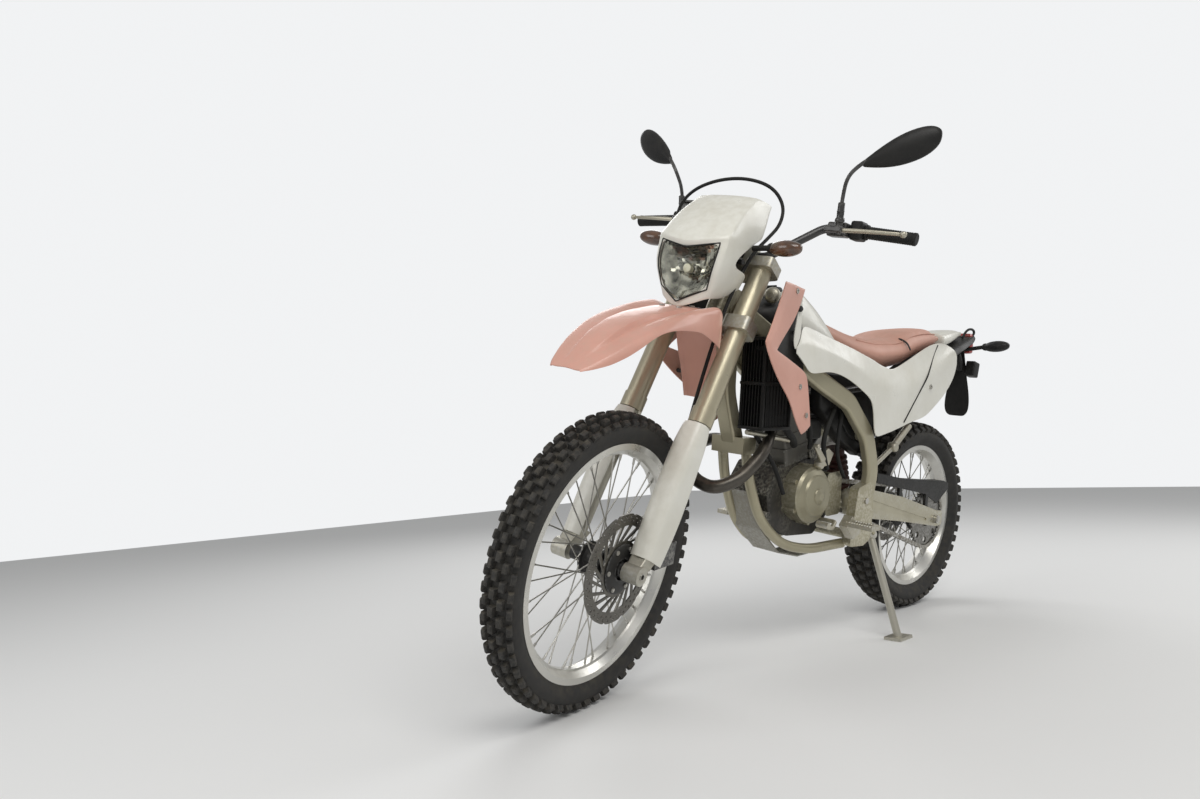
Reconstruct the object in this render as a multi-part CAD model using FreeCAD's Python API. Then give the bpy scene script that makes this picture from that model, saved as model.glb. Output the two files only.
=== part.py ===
import FreeCAD, Part
import math
import os

# Dual sport motorcycle, parked on its side stand with the front wheel turned to the left.
# It is modelled upright with straight steering: X forward from the rear axle, Y to the left, Z up
# from the ground. Then the steering group is turned, and the whole machine leans on its stand.
# All lengths are in millimetres and all angles in degrees.

V = FreeCAD.Vector
X_AXIS = V(1, 0, 0)
Y_AXIS = V(0, 1, 0)
Z_AXIS = V(0, 0, 1)

# Stance
WHEELBASE = 1445.0
CASTER = 27.6
TRAIL = 113.0
PARKED_STEER = 14.3
PARKED_LEAN = 9.5

# Wheels
FRONT_R = 350.0
FRONT_TYRE_W = 88.0
FRONT_RIM_R = 281.0
FRONT_RIM_W = 56.0
REAR_R = 322.0
REAR_TYRE_W = 118.0
REAR_RIM_R = 243.0
REAR_RIM_W = 68.0
LUG_H = 10.0
LUG_ROOT = 6.0
SHOULDER_DROP = 14.0
FRONT_LUG_COUNT = 29
REAR_LUG_COUNT = 26
RIM_DEPTH = 29.0
RIM_WALL = 3.5
SPOKE_COUNT = 36
SPOKE_W = 3.4
SPOKE_CROSS = 52.0
AXLE_R = 8.5
AXLE_BORE_R = 6.0
RUN_FIT = 0.05
REST_GAP = 0.4

# Brakes and drive
DISC_THICK = 4.0
FRONT_DISC_R = 128.0
FRONT_DISC_Y = 62.0
REAR_DISC_R = 110.0
REAR_DISC_Y = -68.0
DISC_BAND = 23.0
DISC_CLEAR = 5.2
CHAIN_Y = 72.0
CHAIN_HALF_W = 7.5
CHAIN_HALF_H = 7.5
CHAIN_PLATE = 2.2
CHAIN_LINKS = 52
CHAIN_WAIST = 5.6
REAR_SPROCKET_R = 101.0
REAR_TEETH = 40
FRONT_SPROCKET_R = 35.7
SPROCKET_THICK = 6.0

# Front fork, in the stem's own frame: u along the stem, v ahead of it
FORK_V = 38.0
FORK_Y = 100.0
FORK_TUBE_R = 27.0
FORK_LEG_R = 21.5
FORK_TUBE_BORE_R = FORK_LEG_R + 0.3
FORK_TUBE_LOW_U = 745.0
FORK_TUBE_TOP_U = 1198.0
FORK_LEG_LOW_U = 385.0
FORK_LEG_TOP_U = 900.0
LOW_CLAMP_U = (998.0, 1033.0)
TOP_CLAMP_U = (1176.0, 1204.0)
HEAD_PIPE_U = (1038.0, 1171.0)
HEAD_PIPE_R = 30.0
HEAD_PIPE_BORE_R = 25.0
STEM_R = 15.0

# Frame
SPAR_W = 30.0
SPAR_H = 54.0
SPAR_ROUND = 9.0
SPAR_Y = 121.0
CRADLE_R = 14.0
PIVOT_X = 500.0
PIVOT_Z = 430.0
PIVOT_R = 9.0
ARM_Y = (82.0, 106.0)
SUBFRAME_R = 11.0
SUBFRAME_Y = 92.0

# Bodywork
SKIN = 3.0
SHROUD_SKIN = 4.0

# Side stand, upright machine
STAND_PIVOT = V(430, 115, 320)
STAND_FOOT = V(460, 244, 41)
STAND_STOWED = V(130, 160, 304)
STAND_PIN_R = 6.0
STAND_LEG_R = 11.0
STAND_PAD = (34.0, 26.0, 9.0)

front_axle = V(WHEELBASE, 0, FRONT_R)
rear_axle = V(0, 0, REAR_R)
stem_ground = V(WHEELBASE + TRAIL, 0, 0)
stem_frame = FreeCAD.Placement(stem_ground, FreeCAD.Rotation(Y_AXIS, -CASTER))
stem_dir = stem_frame.Rotation.multVec(Z_AXIS)
caster_sin = math.sin(math.radians(CASTER))
caster_cos = math.cos(math.radians(CASTER))
axle_u = TRAIL * caster_sin + FRONT_R * caster_cos
axle_v = FRONT_R * caster_sin - TRAIL * caster_cos

nodes = {}
body_of = {}


def add(name, shape, body="chassis"):
    """Keep one finished solid, or a group of solids, as a named piece of a body."""
    nodes[name] = shape
    body_of[name] = body


def stem(shape):
    """Bring a shape from the stem's frame to the machine's."""
    moved = shape.copy()
    moved.Placement = stem_frame.multiply(moved.Placement)
    return moved


def fuse(shapes):
    """One solid from shapes that overlap."""
    return shapes[0].multiFuse(shapes[1:]).removeSplitter()


def mirrored(shape):
    return shape.mirror(V(0, 0, 0), Y_AXIS)


def pair(shape):
    """The piece and its twin on the other side."""
    return Part.makeCompound([shape, mirrored(shape)])


def block(low, high):
    return Part.makeBox(high[0] - low[0], high[1] - low[1], high[2] - low[2], V(*low))


def rod(start, end, radius):
    return Part.makeCylinder(radius, (end - start).Length, start, end - start)


def polygon(points):
    return Part.makePolygon(points + [points[0]])


def rounded(points, radii):
    """Closed wire through corner points, each corner an arc that its two sides have room for."""
    count = len(points)
    starts = []
    ends = []
    mids = []
    for i, corner in enumerate(points):
        to_prev = (points[i - 1] - corner).normalize()
        to_next = (points[(i + 1) % count] - corner).normalize()
        radius = radii[i] if isinstance(radii, (list, tuple)) else radii
        half = to_prev.getAngle(to_next) / 2
        shorter = min((points[i - 1] - corner).Length, (points[(i + 1) % count] - corner).Length)
        radius = min(radius, 0.48 * shorter * math.tan(half))
        if radius <= 0 or half > math.pi / 2 - 0.01:
            starts.append(corner)
            ends.append(corner)
            mids.append(None)
            continue
        reach = radius / math.tan(half)
        centre_way = (to_prev + to_next).normalize()
        centre = corner + centre_way * (radius / math.sin(half))
        starts.append(corner + to_prev * reach)
        ends.append(corner + to_next * reach)
        mids.append(centre - centre_way * radius)
    edges = []
    for i in range(count):
        if mids[i] is not None:
            edges.append(Part.Arc(starts[i], mids[i], ends[i]).toShape())
        following = starts[(i + 1) % count]
        if (following - ends[i]).Length > 1e-6:
            edges.append(Part.LineSegment(ends[i], following).toShape())
    return Part.Wire(edges)


def side_plate(outline, y_low, y_high, radius=0.0):
    """Plate cut to a side view: outline points are (x, z) or (x, z, corner radius)."""
    points = [V(p[0], y_low, p[1]) for p in outline]
    radii = [p[2] if len(p) > 2 else radius for p in outline]
    face = Part.Face(rounded(points, radii))
    return face.extrude(V(0, y_high - y_low, 0))


def run(points, bends):
    """Open path of straight runs joined by tangent arcs."""
    edges = []
    start = points[0]
    for i in range(1, len(points) - 1):
        corner = points[i]
        to_prev = (points[i - 1] - corner).normalize()
        to_next = (points[i + 1] - corner).normalize()
        radius = bends[i - 1] if isinstance(bends, (list, tuple)) else bends
        half = to_prev.getAngle(to_next) / 2
        reach = radius / math.tan(half)
        centre_way = (to_prev + to_next).normalize()
        middle = corner + centre_way * (radius / math.sin(half) - radius)
        first = corner + to_prev * reach
        last = corner + to_next * reach
        edges.append(Part.LineSegment(start, first).toShape())
        edges.append(Part.Arc(first, middle, last).toShape())
        start = last
    edges.append(Part.LineSegment(start, points[-1]).toShape())
    return Part.Wire(edges)


def soft_bends(points, share=0.45):
    """Largest arc at each inner point that its two runs allow."""
    radii = []
    for before, corner, after in zip(points, points[1:], points[2:]):
        shorter = min((corner - before).Length, (after - corner).Length)
        half = (before - corner).getAngle(after - corner) / 2
        radii.append(share * shorter * math.tan(half))
    return radii


def tube(points, bends, radius, bore=0.0):
    """Round tube along a path; with a bore it is hollow."""
    spine = run(points, bends)
    way = points[1] - points[0]

    def solid(r):
        ring = Part.Wire(Part.makeCircle(r, points[0], way))
        shell = Part.BRepOffsetAPI.MakePipeShell(spine)
        shell.add(ring)
        shell.build()
        shell.makeSolid()
        return shell.shape()

    outer = solid(radius)
    return outer.cut(solid(bore)) if bore else outer


def box_tube(points, bends, width, height, corner):
    """Rectangular tube along a path that keeps its width across the machine."""
    spine = run(points, bends)
    way = (points[1] - points[0]).normalize()
    across = Y_AXIS
    up = way.cross(across).normalize()
    flat = up.cross(way).normalize()
    start = points[0]
    corners = [(1, 1), (-1, 1), (-1, -1), (1, -1)]
    section = [start + flat * (a * width / 2) + up * (b * height / 2) for a, b in corners]
    shell = Part.BRepOffsetAPI.MakePipeShell(spine)
    shell.setBiNormalMode(Y_AXIS)
    shell.add(rounded(section, corner))
    shell.build()
    shell.makeSolid()
    return shell.shape()


def loft(wires, ruled=True):
    return Part.makeLoft(wires, True, ruled)


def offset_line(points, wall):
    """Second line a wall's thickness to the right of an open line of (a, b) points."""
    count = len(points)
    ways = []
    for (a0, b0), (a1, b1) in zip(points, points[1:]):
        length = math.hypot(a1 - a0, b1 - b0)
        ways.append(((a1 - a0) / length, (b1 - b0) / length))
    inner = []
    for i, (a, b) in enumerate(points):
        before = ways[max(i - 1, 0)]
        after = ways[min(i, count - 2)]
        na = before[1] + after[1]
        nb = -before[0] - after[0]
        size = math.hypot(na, nb)
        spread = (na / size) * after[1] - (nb / size) * after[0]
        step = wall / max(spread, 0.35)
        inner.append((a + na / size * step, b + nb / size * step))
    return inner


def sheet(rows, place, wall):
    """Thick skin lofted through rows; each row is a station and its open line of (a, b) points."""
    wires = []
    for station, line in rows:
        ring = line + offset_line(line, wall)[::-1]
        wires.append(polygon([place(station, a, b) for a, b in ring]))
    return loft(wires)


def at_x(x, y, z):
    return V(x, y, z)


def at_z(z, x, y):
    return V(x, y, z)


def ring_about_y(profile, centre):
    """Turned ring: profile points are (radius, offset along the axle)."""
    points = [V(centre.x + r, centre.y + y, centre.z) for r, y in profile]
    return Part.Face(polygon(points)).revolve(centre, Y_AXIS, 360)


def turned(base, way, profile):
    """Turned solid about an axis through base: profile points are (distance along it, radius)."""
    points = [V(0, 0, profile[0][0])] + [V(r, 0, h) for h, r in profile] + [V(0, 0, profile[-1][0])]
    solid = Part.Face(polygon(points)).revolve(V(0, 0, 0), Z_AXIS, 360)
    solid.Placement = FreeCAD.Placement(base, FreeCAD.Rotation(Z_AXIS, way))
    return solid


def spot(centre, radius, angle, y):
    """Point round an axle: angle is measured from ahead, upwards."""
    a = math.radians(angle)
    return V(centre.x + radius * math.cos(a), y, centre.z + radius * math.sin(a))


# Wheels


def flat_ring(profile, centre, count):
    """Ring of flats round the Y axis: each flat of the profile, (radius, offset), lies on its radius."""
    corner = 1 / math.cos(math.pi / count)
    faces = []
    for i in range(count):
        start = 360.0 / count * (i - 0.5)
        end = start + 360.0 / count
        for (r1, y1), (r2, y2) in zip(profile, profile[1:] + profile[:1]):
            corners = [
                spot(centre, r1 * corner, start, y1),
                spot(centre, r2 * corner, start, y2),
                spot(centre, r2 * corner, end, y2),
                spot(centre, r1 * corner, end, y1),
            ]
            faces.append(Part.Face(polygon(corners)))
    shell = Part.makeShell(faces)
    shell.sewShape()
    ring = Part.makeSolid(shell)
    ring.fix(1e-4, 1e-4, 1e-4)
    return ring


def tyre(centre, outer_r, width, rim_r, rim_w, lug_long, lug_count):
    """Tyre: half profile as shares of its width, mirrored about its middle, with its lugs fused on."""
    seat_w = rim_w / 2 - RIM_WALL - REST_GAP
    crown = outer_r - LUG_H
    half = [
        # radius, offset
        (rim_r - 12.5, seat_w - 3.5),
        (rim_r + 0.6, seat_w),
        (rim_r + 4.0, rim_w / 2 + 1.5),
        (rim_r + (crown - rim_r) * 0.45, width * 0.46),
        (crown - SHOULDER_DROP, width * 0.44),
        (crown, width * 0.2),
    ]
    profile = half + [(r, -y) for r, y in reversed(half)]
    shoulder = math.degrees(math.atan2(SHOULDER_DROP, width * 0.24))
    lug_rows = [
        # across, drop, tilt, length round, width, share of a step round
        (0, 0, 0, lug_long, width * 0.3, 0.0),
        (width * 0.36, SHOULDER_DROP * 0.55, shoulder, lug_long, width * 0.2, 0.5),
        (-width * 0.36, SHOULDER_DROP * 0.55, -shoulder, lug_long, width * 0.2, 0.5),
    ]
    lugs = []
    for across, drop, tilt, long, wide, shift in lug_rows:
        lug = Part.makeBox(LUG_H + LUG_ROOT, wide, long, V(-LUG_ROOT, -wide / 2, -long / 2))
        lug.rotate(V(0, 0, 0), Z_AXIS, tilt)
        lug.translate(V(crown - drop, across, 0))
        for i in range(lug_count):
            one = lug.copy()
            one.rotate(V(0, 0, 0), Y_AXIS, 360.0 / lug_count * (i + shift))
            one.translate(centre)
            lugs.append(one)
    return flat_ring(profile, centre, lug_count).multiFuse(lugs)


def rim(centre, rim_r, rim_w):
    half_outer = [(rim_r, rim_w / 2 - RIM_WALL), (rim_r - 13, rim_w / 2 - 7), (rim_r - 19, 10)]
    half_inner = [(rim_r, rim_w / 2), (rim_r - 15, rim_w / 2), (rim_r - 26, 14), (rim_r - RIM_DEPTH, 9)]
    outer = half_outer + [(r, -y) for r, y in reversed(half_outer)]
    inner = [(r, -y) for r, y in half_inner] + list(reversed(half_inner))
    return ring_about_y(outer + inner, centre)


def hub(centre, barrel_r, flange_r, flange_y, half_length):
    profile = [
        (AXLE_R + RUN_FIT, -half_length),
        (barrel_r, -half_length),
        (barrel_r, -flange_y - 4),
        (flange_r + 5, -flange_y - 4),
        (flange_r + 5, -flange_y + 3),
        (barrel_r + 3, -flange_y + 8),
        (barrel_r + 3, flange_y - 8),
        (flange_r + 5, flange_y - 3),
        (flange_r + 5, flange_y + 4),
        (barrel_r, flange_y + 4),
        (barrel_r, half_length),
        (AXLE_R + RUN_FIT, half_length),
    ]
    return ring_about_y(profile, centre)


def spoke(start, end):
    way = end - start
    side = way.cross(Y_AXIS).normalize() * (SPOKE_W / 2)
    other = way.cross(side).normalize() * (SPOKE_W / 2)
    square = polygon([start + side + other, start + side - other, start - side - other, start - side + other])
    return Part.Face(square).extrude(way)


def spokes(centre, flange_r, flange_y, rim_inner_r):
    made = []
    for i in range(SPOKE_COUNT):
        angle = 360.0 / SPOKE_COUNT * i
        side = 1 if i % 2 else -1
        lean = SPOKE_CROSS if (i // 2) % 2 else -SPOKE_CROSS
        start = spot(centre, flange_r, angle + lean, centre.y + side * flange_y)
        end = spot(centre, rim_inner_r, angle, centre.y + side * 5)
        made.append(spoke(start, end))
    return made


def disc(centre, y, radius, carrier_r, bore_r, arms, waves):
    """Brake disc: wavy outer band joined to its carrier ring by slanted arms."""
    y0 = y - DISC_THICK / 2
    base = V(centre.x, y0, centre.z)
    band = Part.makeCylinder(radius, DISC_THICK, base, Y_AXIS)
    band = band.cut(Part.makeCylinder(radius - DISC_BAND, DISC_THICK, base, Y_AXIS))
    for i in range(waves):
        bite = spot(centre, radius + 7, 360.0 / waves * i, y0)
        band = band.cut(Part.makeCylinder(10, DISC_THICK, bite, Y_AXIS))
    for i in range(2 * waves):
        hole = spot(centre, radius - (8 if i % 2 else 15), 180.0 / waves * (i + 0.5), y0)
        band = band.cut(Part.makeCylinder(3.5, DISC_THICK, hole, Y_AXIS))
    inner = Part.makeCylinder(carrier_r, DISC_THICK, base, Y_AXIS)
    inner = inner.cut(Part.makeCylinder(bore_r, DISC_THICK, base, Y_AXIS))
    pieces = [band, inner]
    for i in range(arms):
        angle = 360.0 / arms * i
        a = spot(centre, carrier_r - 3, angle, y0)
        b = spot(centre, radius - DISC_BAND + 3, angle + 24, y0)
        side = (b - a).cross(Y_AXIS).normalize() * 5
        arm = Part.Face(polygon([a + side, b + side, b - side, a - side])).extrude(V(0, DISC_THICK, 0))
        pieces.append(arm)
    return fuse(pieces)


FRONT_FLANGE_R = 34.0
FRONT_FLANGE_Y = 26.0
REAR_FLANGE_R = 46.0
REAR_FLANGE_Y = 28.0
FRONT_HUB_HALF = 72.0
REAR_HUB_HALF = 77.0
FRONT_CARRIER_R = 46.0
REAR_CARRIER_R = 52.0

front_tyre = tyre(front_axle, FRONT_R, FRONT_TYRE_W, FRONT_RIM_R, FRONT_RIM_W, 36, FRONT_LUG_COUNT)
add("front_tyre", front_tyre, "front_wheel")
add("front_rim", rim(front_axle, FRONT_RIM_R, FRONT_RIM_W), "front_wheel")
front_spokes = spokes(front_axle, FRONT_FLANGE_R, FRONT_FLANGE_Y, FRONT_RIM_R - RIM_DEPTH - REST_GAP)
front_core = hub(front_axle, 24, FRONT_FLANGE_R, FRONT_FLANGE_Y, FRONT_HUB_HALF)
front_carrier = ring_about_y(
    [(20, 30), (FRONT_CARRIER_R, 44), (FRONT_CARRIER_R, FRONT_DISC_Y - DISC_THICK / 2), (20, FRONT_DISC_Y - 2)],
    front_axle,
)
add("front_hub", fuse([front_core, front_carrier] + front_spokes), "front_wheel")
add(
    "front_disc",
    disc(front_axle, FRONT_DISC_Y, FRONT_DISC_R, 60, 24.2, 10, 12),
    "front_wheel",
)

rear_tyre = tyre(rear_axle, REAR_R, REAR_TYRE_W, REAR_RIM_R, REAR_RIM_W, 40, REAR_LUG_COUNT)
add("rear_tyre", rear_tyre, "rear_wheel")
add("rear_rim", rim(rear_axle, REAR_RIM_R, REAR_RIM_W), "rear_wheel")
rear_spokes = spokes(rear_axle, REAR_FLANGE_R, REAR_FLANGE_Y, REAR_RIM_R - RIM_DEPTH - REST_GAP)
rear_core = hub(rear_axle, 30, REAR_FLANGE_R, REAR_FLANGE_Y, REAR_HUB_HALF)
SPROCKET_SEAT = CHAIN_Y - SPROCKET_THICK / 2
DISC_SEAT = REAR_DISC_Y + DISC_THICK / 2
rear_carrier_left = ring_about_y(
    [(26, 32), (REAR_CARRIER_R, 40), (REAR_CARRIER_R, SPROCKET_SEAT), (26, SPROCKET_SEAT)], rear_axle
)
rear_carrier_right = ring_about_y(
    [(26, -32), (REAR_CARRIER_R, -44), (REAR_CARRIER_R, DISC_SEAT), (26, DISC_SEAT)], rear_axle
)
add(
    "rear_hub",
    fuse([rear_core, rear_carrier_left, rear_carrier_right] + rear_spokes),
    "rear_wheel",
)
add("rear_disc", disc(rear_axle, REAR_DISC_Y, REAR_DISC_R, 60, 30.2, 8, 10), "rear_wheel")


def sprocket(centre, pitch_r, teeth, bore_r, cut_outs):
    """Toothed plate with round lightening holes."""
    tip_r = pitch_r + 4.5
    root_r = pitch_r - 4.5
    y0 = CHAIN_Y - SPROCKET_THICK / 2
    points = []
    for i in range(teeth):
        step = 360.0 / teeth
        for radius, share in ((root_r, -0.28), (tip_r, -0.08), (tip_r, 0.08), (root_r, 0.28)):
            points.append(spot(centre, radius, step * (i + share), y0))
    plate = Part.Face(polygon(points)).extrude(V(0, SPROCKET_THICK, 0))
    plate = plate.cut(Part.makeCylinder(bore_r, SPROCKET_THICK, V(centre.x, y0, centre.z), Y_AXIS))
    for i in range(cut_outs):
        hole = spot(centre, pitch_r * 0.76, 360.0 / cut_outs * i, y0)
        plate = plate.cut(Part.makeCylinder(11, SPROCKET_THICK, hole, Y_AXIS))
    return plate


add("rear_sprocket", sprocket(rear_axle, REAR_SPROCKET_R, REAR_TEETH, 30.2, 8), "rear_wheel")

# Steering group


def stem_plate(outline, u_low, u_high, radius):
    """Clamp plate: outline points are (v, y) in the stem's frame."""
    wire = rounded([V(v, y, u_low) for v, y in outline], radius)
    return Part.Face(wire).extrude(V(0, 0, u_high - u_low))


def fork_cut(shape, radius, u_low, u_high):
    for side in (1, -1):
        hole = Part.makeCylinder(radius, u_high - u_low, V(FORK_V, side * FORK_Y, u_low))
        shape = shape.cut(hole)
    return shape


CLAMP_REACH = FORK_Y + FORK_TUBE_R + 10
clamp_outline = [
    # v, y
    (-24, -38),
    (6, -CLAMP_REACH),
    (FORK_V + 34, -CLAMP_REACH),
    (FORK_V + 34, -74),
    (34, -40),
    (34, 40),
    (FORK_V + 34, 74),
    (FORK_V + 34, CLAMP_REACH),
    (6, CLAMP_REACH),
    (-24, 38),
]
TUBE_FIT_R = FORK_TUBE_R + 0.05
lower_clamp = fork_cut(stem_plate(clamp_outline, *LOW_CLAMP_U, 12), TUBE_FIT_R, *LOW_CLAMP_U)
upper_clamp = fork_cut(stem_plate(clamp_outline, *TOP_CLAMP_U, 12), TUBE_FIT_R, *TOP_CLAMP_U)
RACE_R = HEAD_PIPE_BORE_R - RUN_FIT
RACE_H = 14.0
stem_bar = Part.makeCylinder(STEM_R, TOP_CLAMP_U[1] + 8 - LOW_CLAMP_U[0], V(0, 0, LOW_CLAMP_U[0]))
low_race = Part.makeCylinder(RACE_R, HEAD_PIPE_U[0] + RACE_H - LOW_CLAMP_U[1] + 2, V(0, 0, LOW_CLAMP_U[1] - 2))
top_race = Part.makeCylinder(RACE_R, TOP_CLAMP_U[0] + 2 - HEAD_PIPE_U[1] + RACE_H, V(0, 0, HEAD_PIPE_U[1] - RACE_H))
BAR_R = 11.0
BAR_CLAMP_U = TOP_CLAMP_U[1] + 34
BAR_CLAMP_V = 12.0
BAR_CLAMP_Y = 44.0
BAR_STRAIGHT = 84.0
risers = []
for side in (1, -1):
    riser = block((BAR_CLAMP_V - 18, side * BAR_CLAMP_Y - 14, TOP_CLAMP_U[1] - 1), (BAR_CLAMP_V + 18, side * BAR_CLAMP_Y + 14, BAR_CLAMP_U + 18))
    risers.append(riser)
bar_bore = Part.makeCylinder(BAR_R + 0.05, 200, V(BAR_CLAMP_V, -100, BAR_CLAMP_U), Y_AXIS)
clamps = fuse([lower_clamp, upper_clamp, stem_bar, low_race, top_race] + risers).cut(bar_bore)
add("triple_clamps", stem(clamps), "steering")

fork_tubes = []
fork_legs = []
for side in (1, -1):
    y = side * FORK_Y
    length = FORK_TUBE_TOP_U - FORK_TUBE_LOW_U
    outer = Part.makeCylinder(FORK_TUBE_R, length, V(FORK_V, y, FORK_TUBE_LOW_U))
    bore = Part.makeCylinder(FORK_TUBE_BORE_R, length - 20, V(FORK_V, y, FORK_TUBE_LOW_U))
    collar = Part.makeCylinder(FORK_TUBE_R + 3, 40, V(FORK_V, y, FORK_TUBE_LOW_U))
    fork_tubes.append(outer.fuse(collar).cut(bore).removeSplitter())
    leg = Part.makeCylinder(FORK_LEG_R, FORK_LEG_TOP_U - FORK_LEG_LOW_U, V(FORK_V, y, FORK_LEG_LOW_U))
    y_in = y - 20 if side > 0 else y - 24
    foot = Part.makeCylinder(22, 44, V(axle_v, y_in, axle_u), Y_AXIS)
    neck = loft(
        [
            rounded([V(a, b, axle_u - 8) for a, b in ((axle_v - 18, y - 18), (axle_v + 18, y - 18), (axle_v + 18, y + 18), (axle_v - 18, y + 18))], 5),
            rounded([V(a, b, axle_u + 60) for a, b in ((FORK_V - 24, y - 23), (FORK_V + 24, y - 23), (FORK_V + 24, y + 23), (FORK_V - 24, y + 23))], 5),
        ]
    )
    bore = Part.makeCylinder(AXLE_R + RUN_FIT, 80, V(axle_v, y - 40, axle_u), Y_AXIS)
    fork_legs.append(fuse([leg, foot, neck]).cut(bore))
add("fork_tubes", stem(Part.makeCompound(fork_tubes)), "steering")
add("fork_legs", stem(Part.makeCompound(fork_legs)), "steering")

AXLE_END = FORK_Y + 26.0
axle = rod(V(WHEELBASE, -AXLE_END, FRONT_R), V(WHEELBASE, AXLE_END, FRONT_R), AXLE_R)
axle = axle.cut(rod(V(WHEELBASE, -AXLE_END, FRONT_R), V(WHEELBASE, AXLE_END, FRONT_R), AXLE_BORE_R))
add("front_axle", axle, "steering")

# Fork guard rows: height along the fork, then rear edge, outer corner, front corner, inner edge
guard_rows = [
    # u, half width across y, front v, rear v
    (402, 27, FORK_V + 36, FORK_V - 34),
    (500, 28, FORK_V + 44, FORK_V - 40),
    (600, 30, FORK_V + 44, FORK_V - 30),
    (690, 33, FORK_V + 42, FORK_V - 22),
    (770, 33, FORK_V + 36, FORK_V - 20),
]


def fork_guard():
    wires = []
    for u, half, front, rear in guard_rows:
        y = FORK_Y
        line = [(rear, y + half), (front - 14, y + half), (front, y + half - 16), (front, y - half + 12), (front - 12, y - half)]
        ring = line + offset_line(line, SKIN)[::-1]
        wires.append(polygon([V(a, b, u) for a, b in ring]))
    return loft(wires)


guard = fork_guard().cut(fork_legs[0])
add("fork_guards", stem(pair(guard)), "steering")

bar_mid = stem_frame.multVec(V(BAR_CLAMP_V, 0, BAR_CLAMP_U))
GRIP_IN = V(866, 272, 1196)
GRIP_OUT = V(868, 408, 1187)
bar_half = [
    bar_mid + V(0, BAR_STRAIGHT, 0),
    V(900, 190, 1199),
    GRIP_IN,
]
bar_points = [V(p.x, -p.y, p.z) for p in [GRIP_OUT] + bar_half[:0:-1]] + [bar_mid - V(0, BAR_STRAIGHT, 0), bar_mid + V(0, BAR_STRAIGHT, 0)] + bar_half[1:] + [GRIP_OUT]
add("handlebar", tube(bar_points, [60, 70, 40, 40, 70, 60], BAR_R), "steering")

grips = []
for side in (1, -1):
    inner = V(GRIP_IN.x, side * (GRIP_IN.y + 12), GRIP_IN.z)
    outer = V(GRIP_OUT.x, side * GRIP_OUT.y, GRIP_OUT.z)
    way = (outer - inner).normalize()
    tip = outer + way * 4
    body = turned(inner, way, [(0, 19), (6, 19), (6.5, 16), ((tip - inner).Length - 6, 16), ((tip - inner).Length, 15)])
    grips.append(body)
bar_shape = nodes["handlebar"]
grips = [g.cut(bar_shape) for g in grips]
add("grips", Part.makeCompound(grips), "steering")


def mirror_stalk():
    """Mirror: stalk up from its perch, long neck and a shallow bowl of a head."""
    perch = V(925, 232, 1212)
    stalk = tube([perch, V(938, 234, 1262), V(962, 250, 1320), V(946, 290, 1362)], [30, 40], 5)
    boot = turned(perch, V(13, 2, 50), [(0, 12), (8, 12), (9, 9), (48, 8)])
    return fuse([stalk, boot])


mirror_rows = [
    # share along the head, half height, half depth, rise
    (0.00, 9, 8, 0),
    (0.22, 26, 15, 6),
    (0.50, 44, 20, 12),
    (0.80, 42, 18, 16),
    (1.00, 16, 8, 18),
]
MIRROR_ROOT = V(950, 275, 1350)
MIRROR_TIP = V(888, 432, 1410)


def mirror_head():
    way = MIRROR_TIP - MIRROR_ROOT
    flat = V(way.x, way.y, 0).normalize()
    normal = flat.cross(Z_AXIS)
    wires = []
    for share, high, deep, rise in mirror_rows:
        centre = MIRROR_ROOT + way * share + V(0, 0, rise)
        corners = [(1, 0.35), (0.35, 1), (-0.35, 1), (-1, 0.35), (-1, -0.6), (-0.35, -1), (0.35, -1), (1, -0.6)]
        wires.append(polygon([centre + normal * (deep * a) + V(0, 0, high * b) for a, b in corners]))
    return loft(wires)


mirror = fuse([mirror_stalk(), mirror_head()])

# Hand controls: perch and lever on each side, with a reservoir at the right and a switch at the left


def controls(side):
    centre_y = 222
    perch = block((872, centre_y - 26, 1176), (915, centre_y + 26, 1214))
    arm = block((900, centre_y - 20, 1182), (952, centre_y + 30, 1200))
    switch = block((846, centre_y + 28, 1172), (898, centre_y + 60, 1222))
    pieces = [perch, arm, switch]
    if side < 0:
        pieces.append(block((886, centre_y - 40, 1212), (940, centre_y + 16, 1246)))
    solid = fuse(pieces)
    if side < 0:
        solid = mirrored(solid)
    return solid.cut(bar_shape)


left_controls = controls(1)
right_controls = controls(-1)


def lever():
    flat = [(942, 236), (952, 300), (940, 392), (928, 404), (918, 396), (926, 300), (922, 240)]
    face = Part.Face(rounded([V(x, y, 1184) for x, y in flat], 5))
    return face.extrude(V(0, 0, 12))


left_controls = fuse([left_controls, lever()])
banjo = rod(V(930, -226, 1192), V(957, -226, 1200), 8)
right_controls = fuse([right_controls, mirrored(lever()), banjo])
add("hand_controls", Part.makeCompound([left_controls, right_controls]), "steering")
mirrors = pair(mirror).cut(nodes["hand_controls"]).cut(bar_shape)
add("mirrors", mirrors, "steering")

# Headlight and its cowl: rows at a height, line runs from the right rear edge to the left rear edge
cowl_rows = [
    # z, then (x, y) of half the line from the middle out
    (966, [(1266, 0), (1262, 22), (1238, 34), (1200, 60), (1176, 70)]),
    (996, [(1262, 0), (1257, 40), (1236, 60), (1180, 84), (1150, 88)]),
    (1050, [(1254, 0), (1248, 62), (1226, 84), (1150, 98), (1095, 101)]),
    (1108, [(1245, 0), (1240, 76), (1216, 92), (1130, 100), (1062, 100)]),
    (1170, [(1176, 0), (1168, 64), (1148, 80), (1100, 88), (1040, 90)]),
    (1234, [(1100, 0), (1094, 50), (1082, 62), (1056, 70), (1026, 72)]),
]


def cowl_shell():
    rows = []
    for z, half in cowl_rows:
        line = [(x, -y) for x, y in reversed(half)] + half[1:]
        rows.append((z, line[::-1]))
    return sheet(rows, at_z, SHROUD_SKIN)


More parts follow.
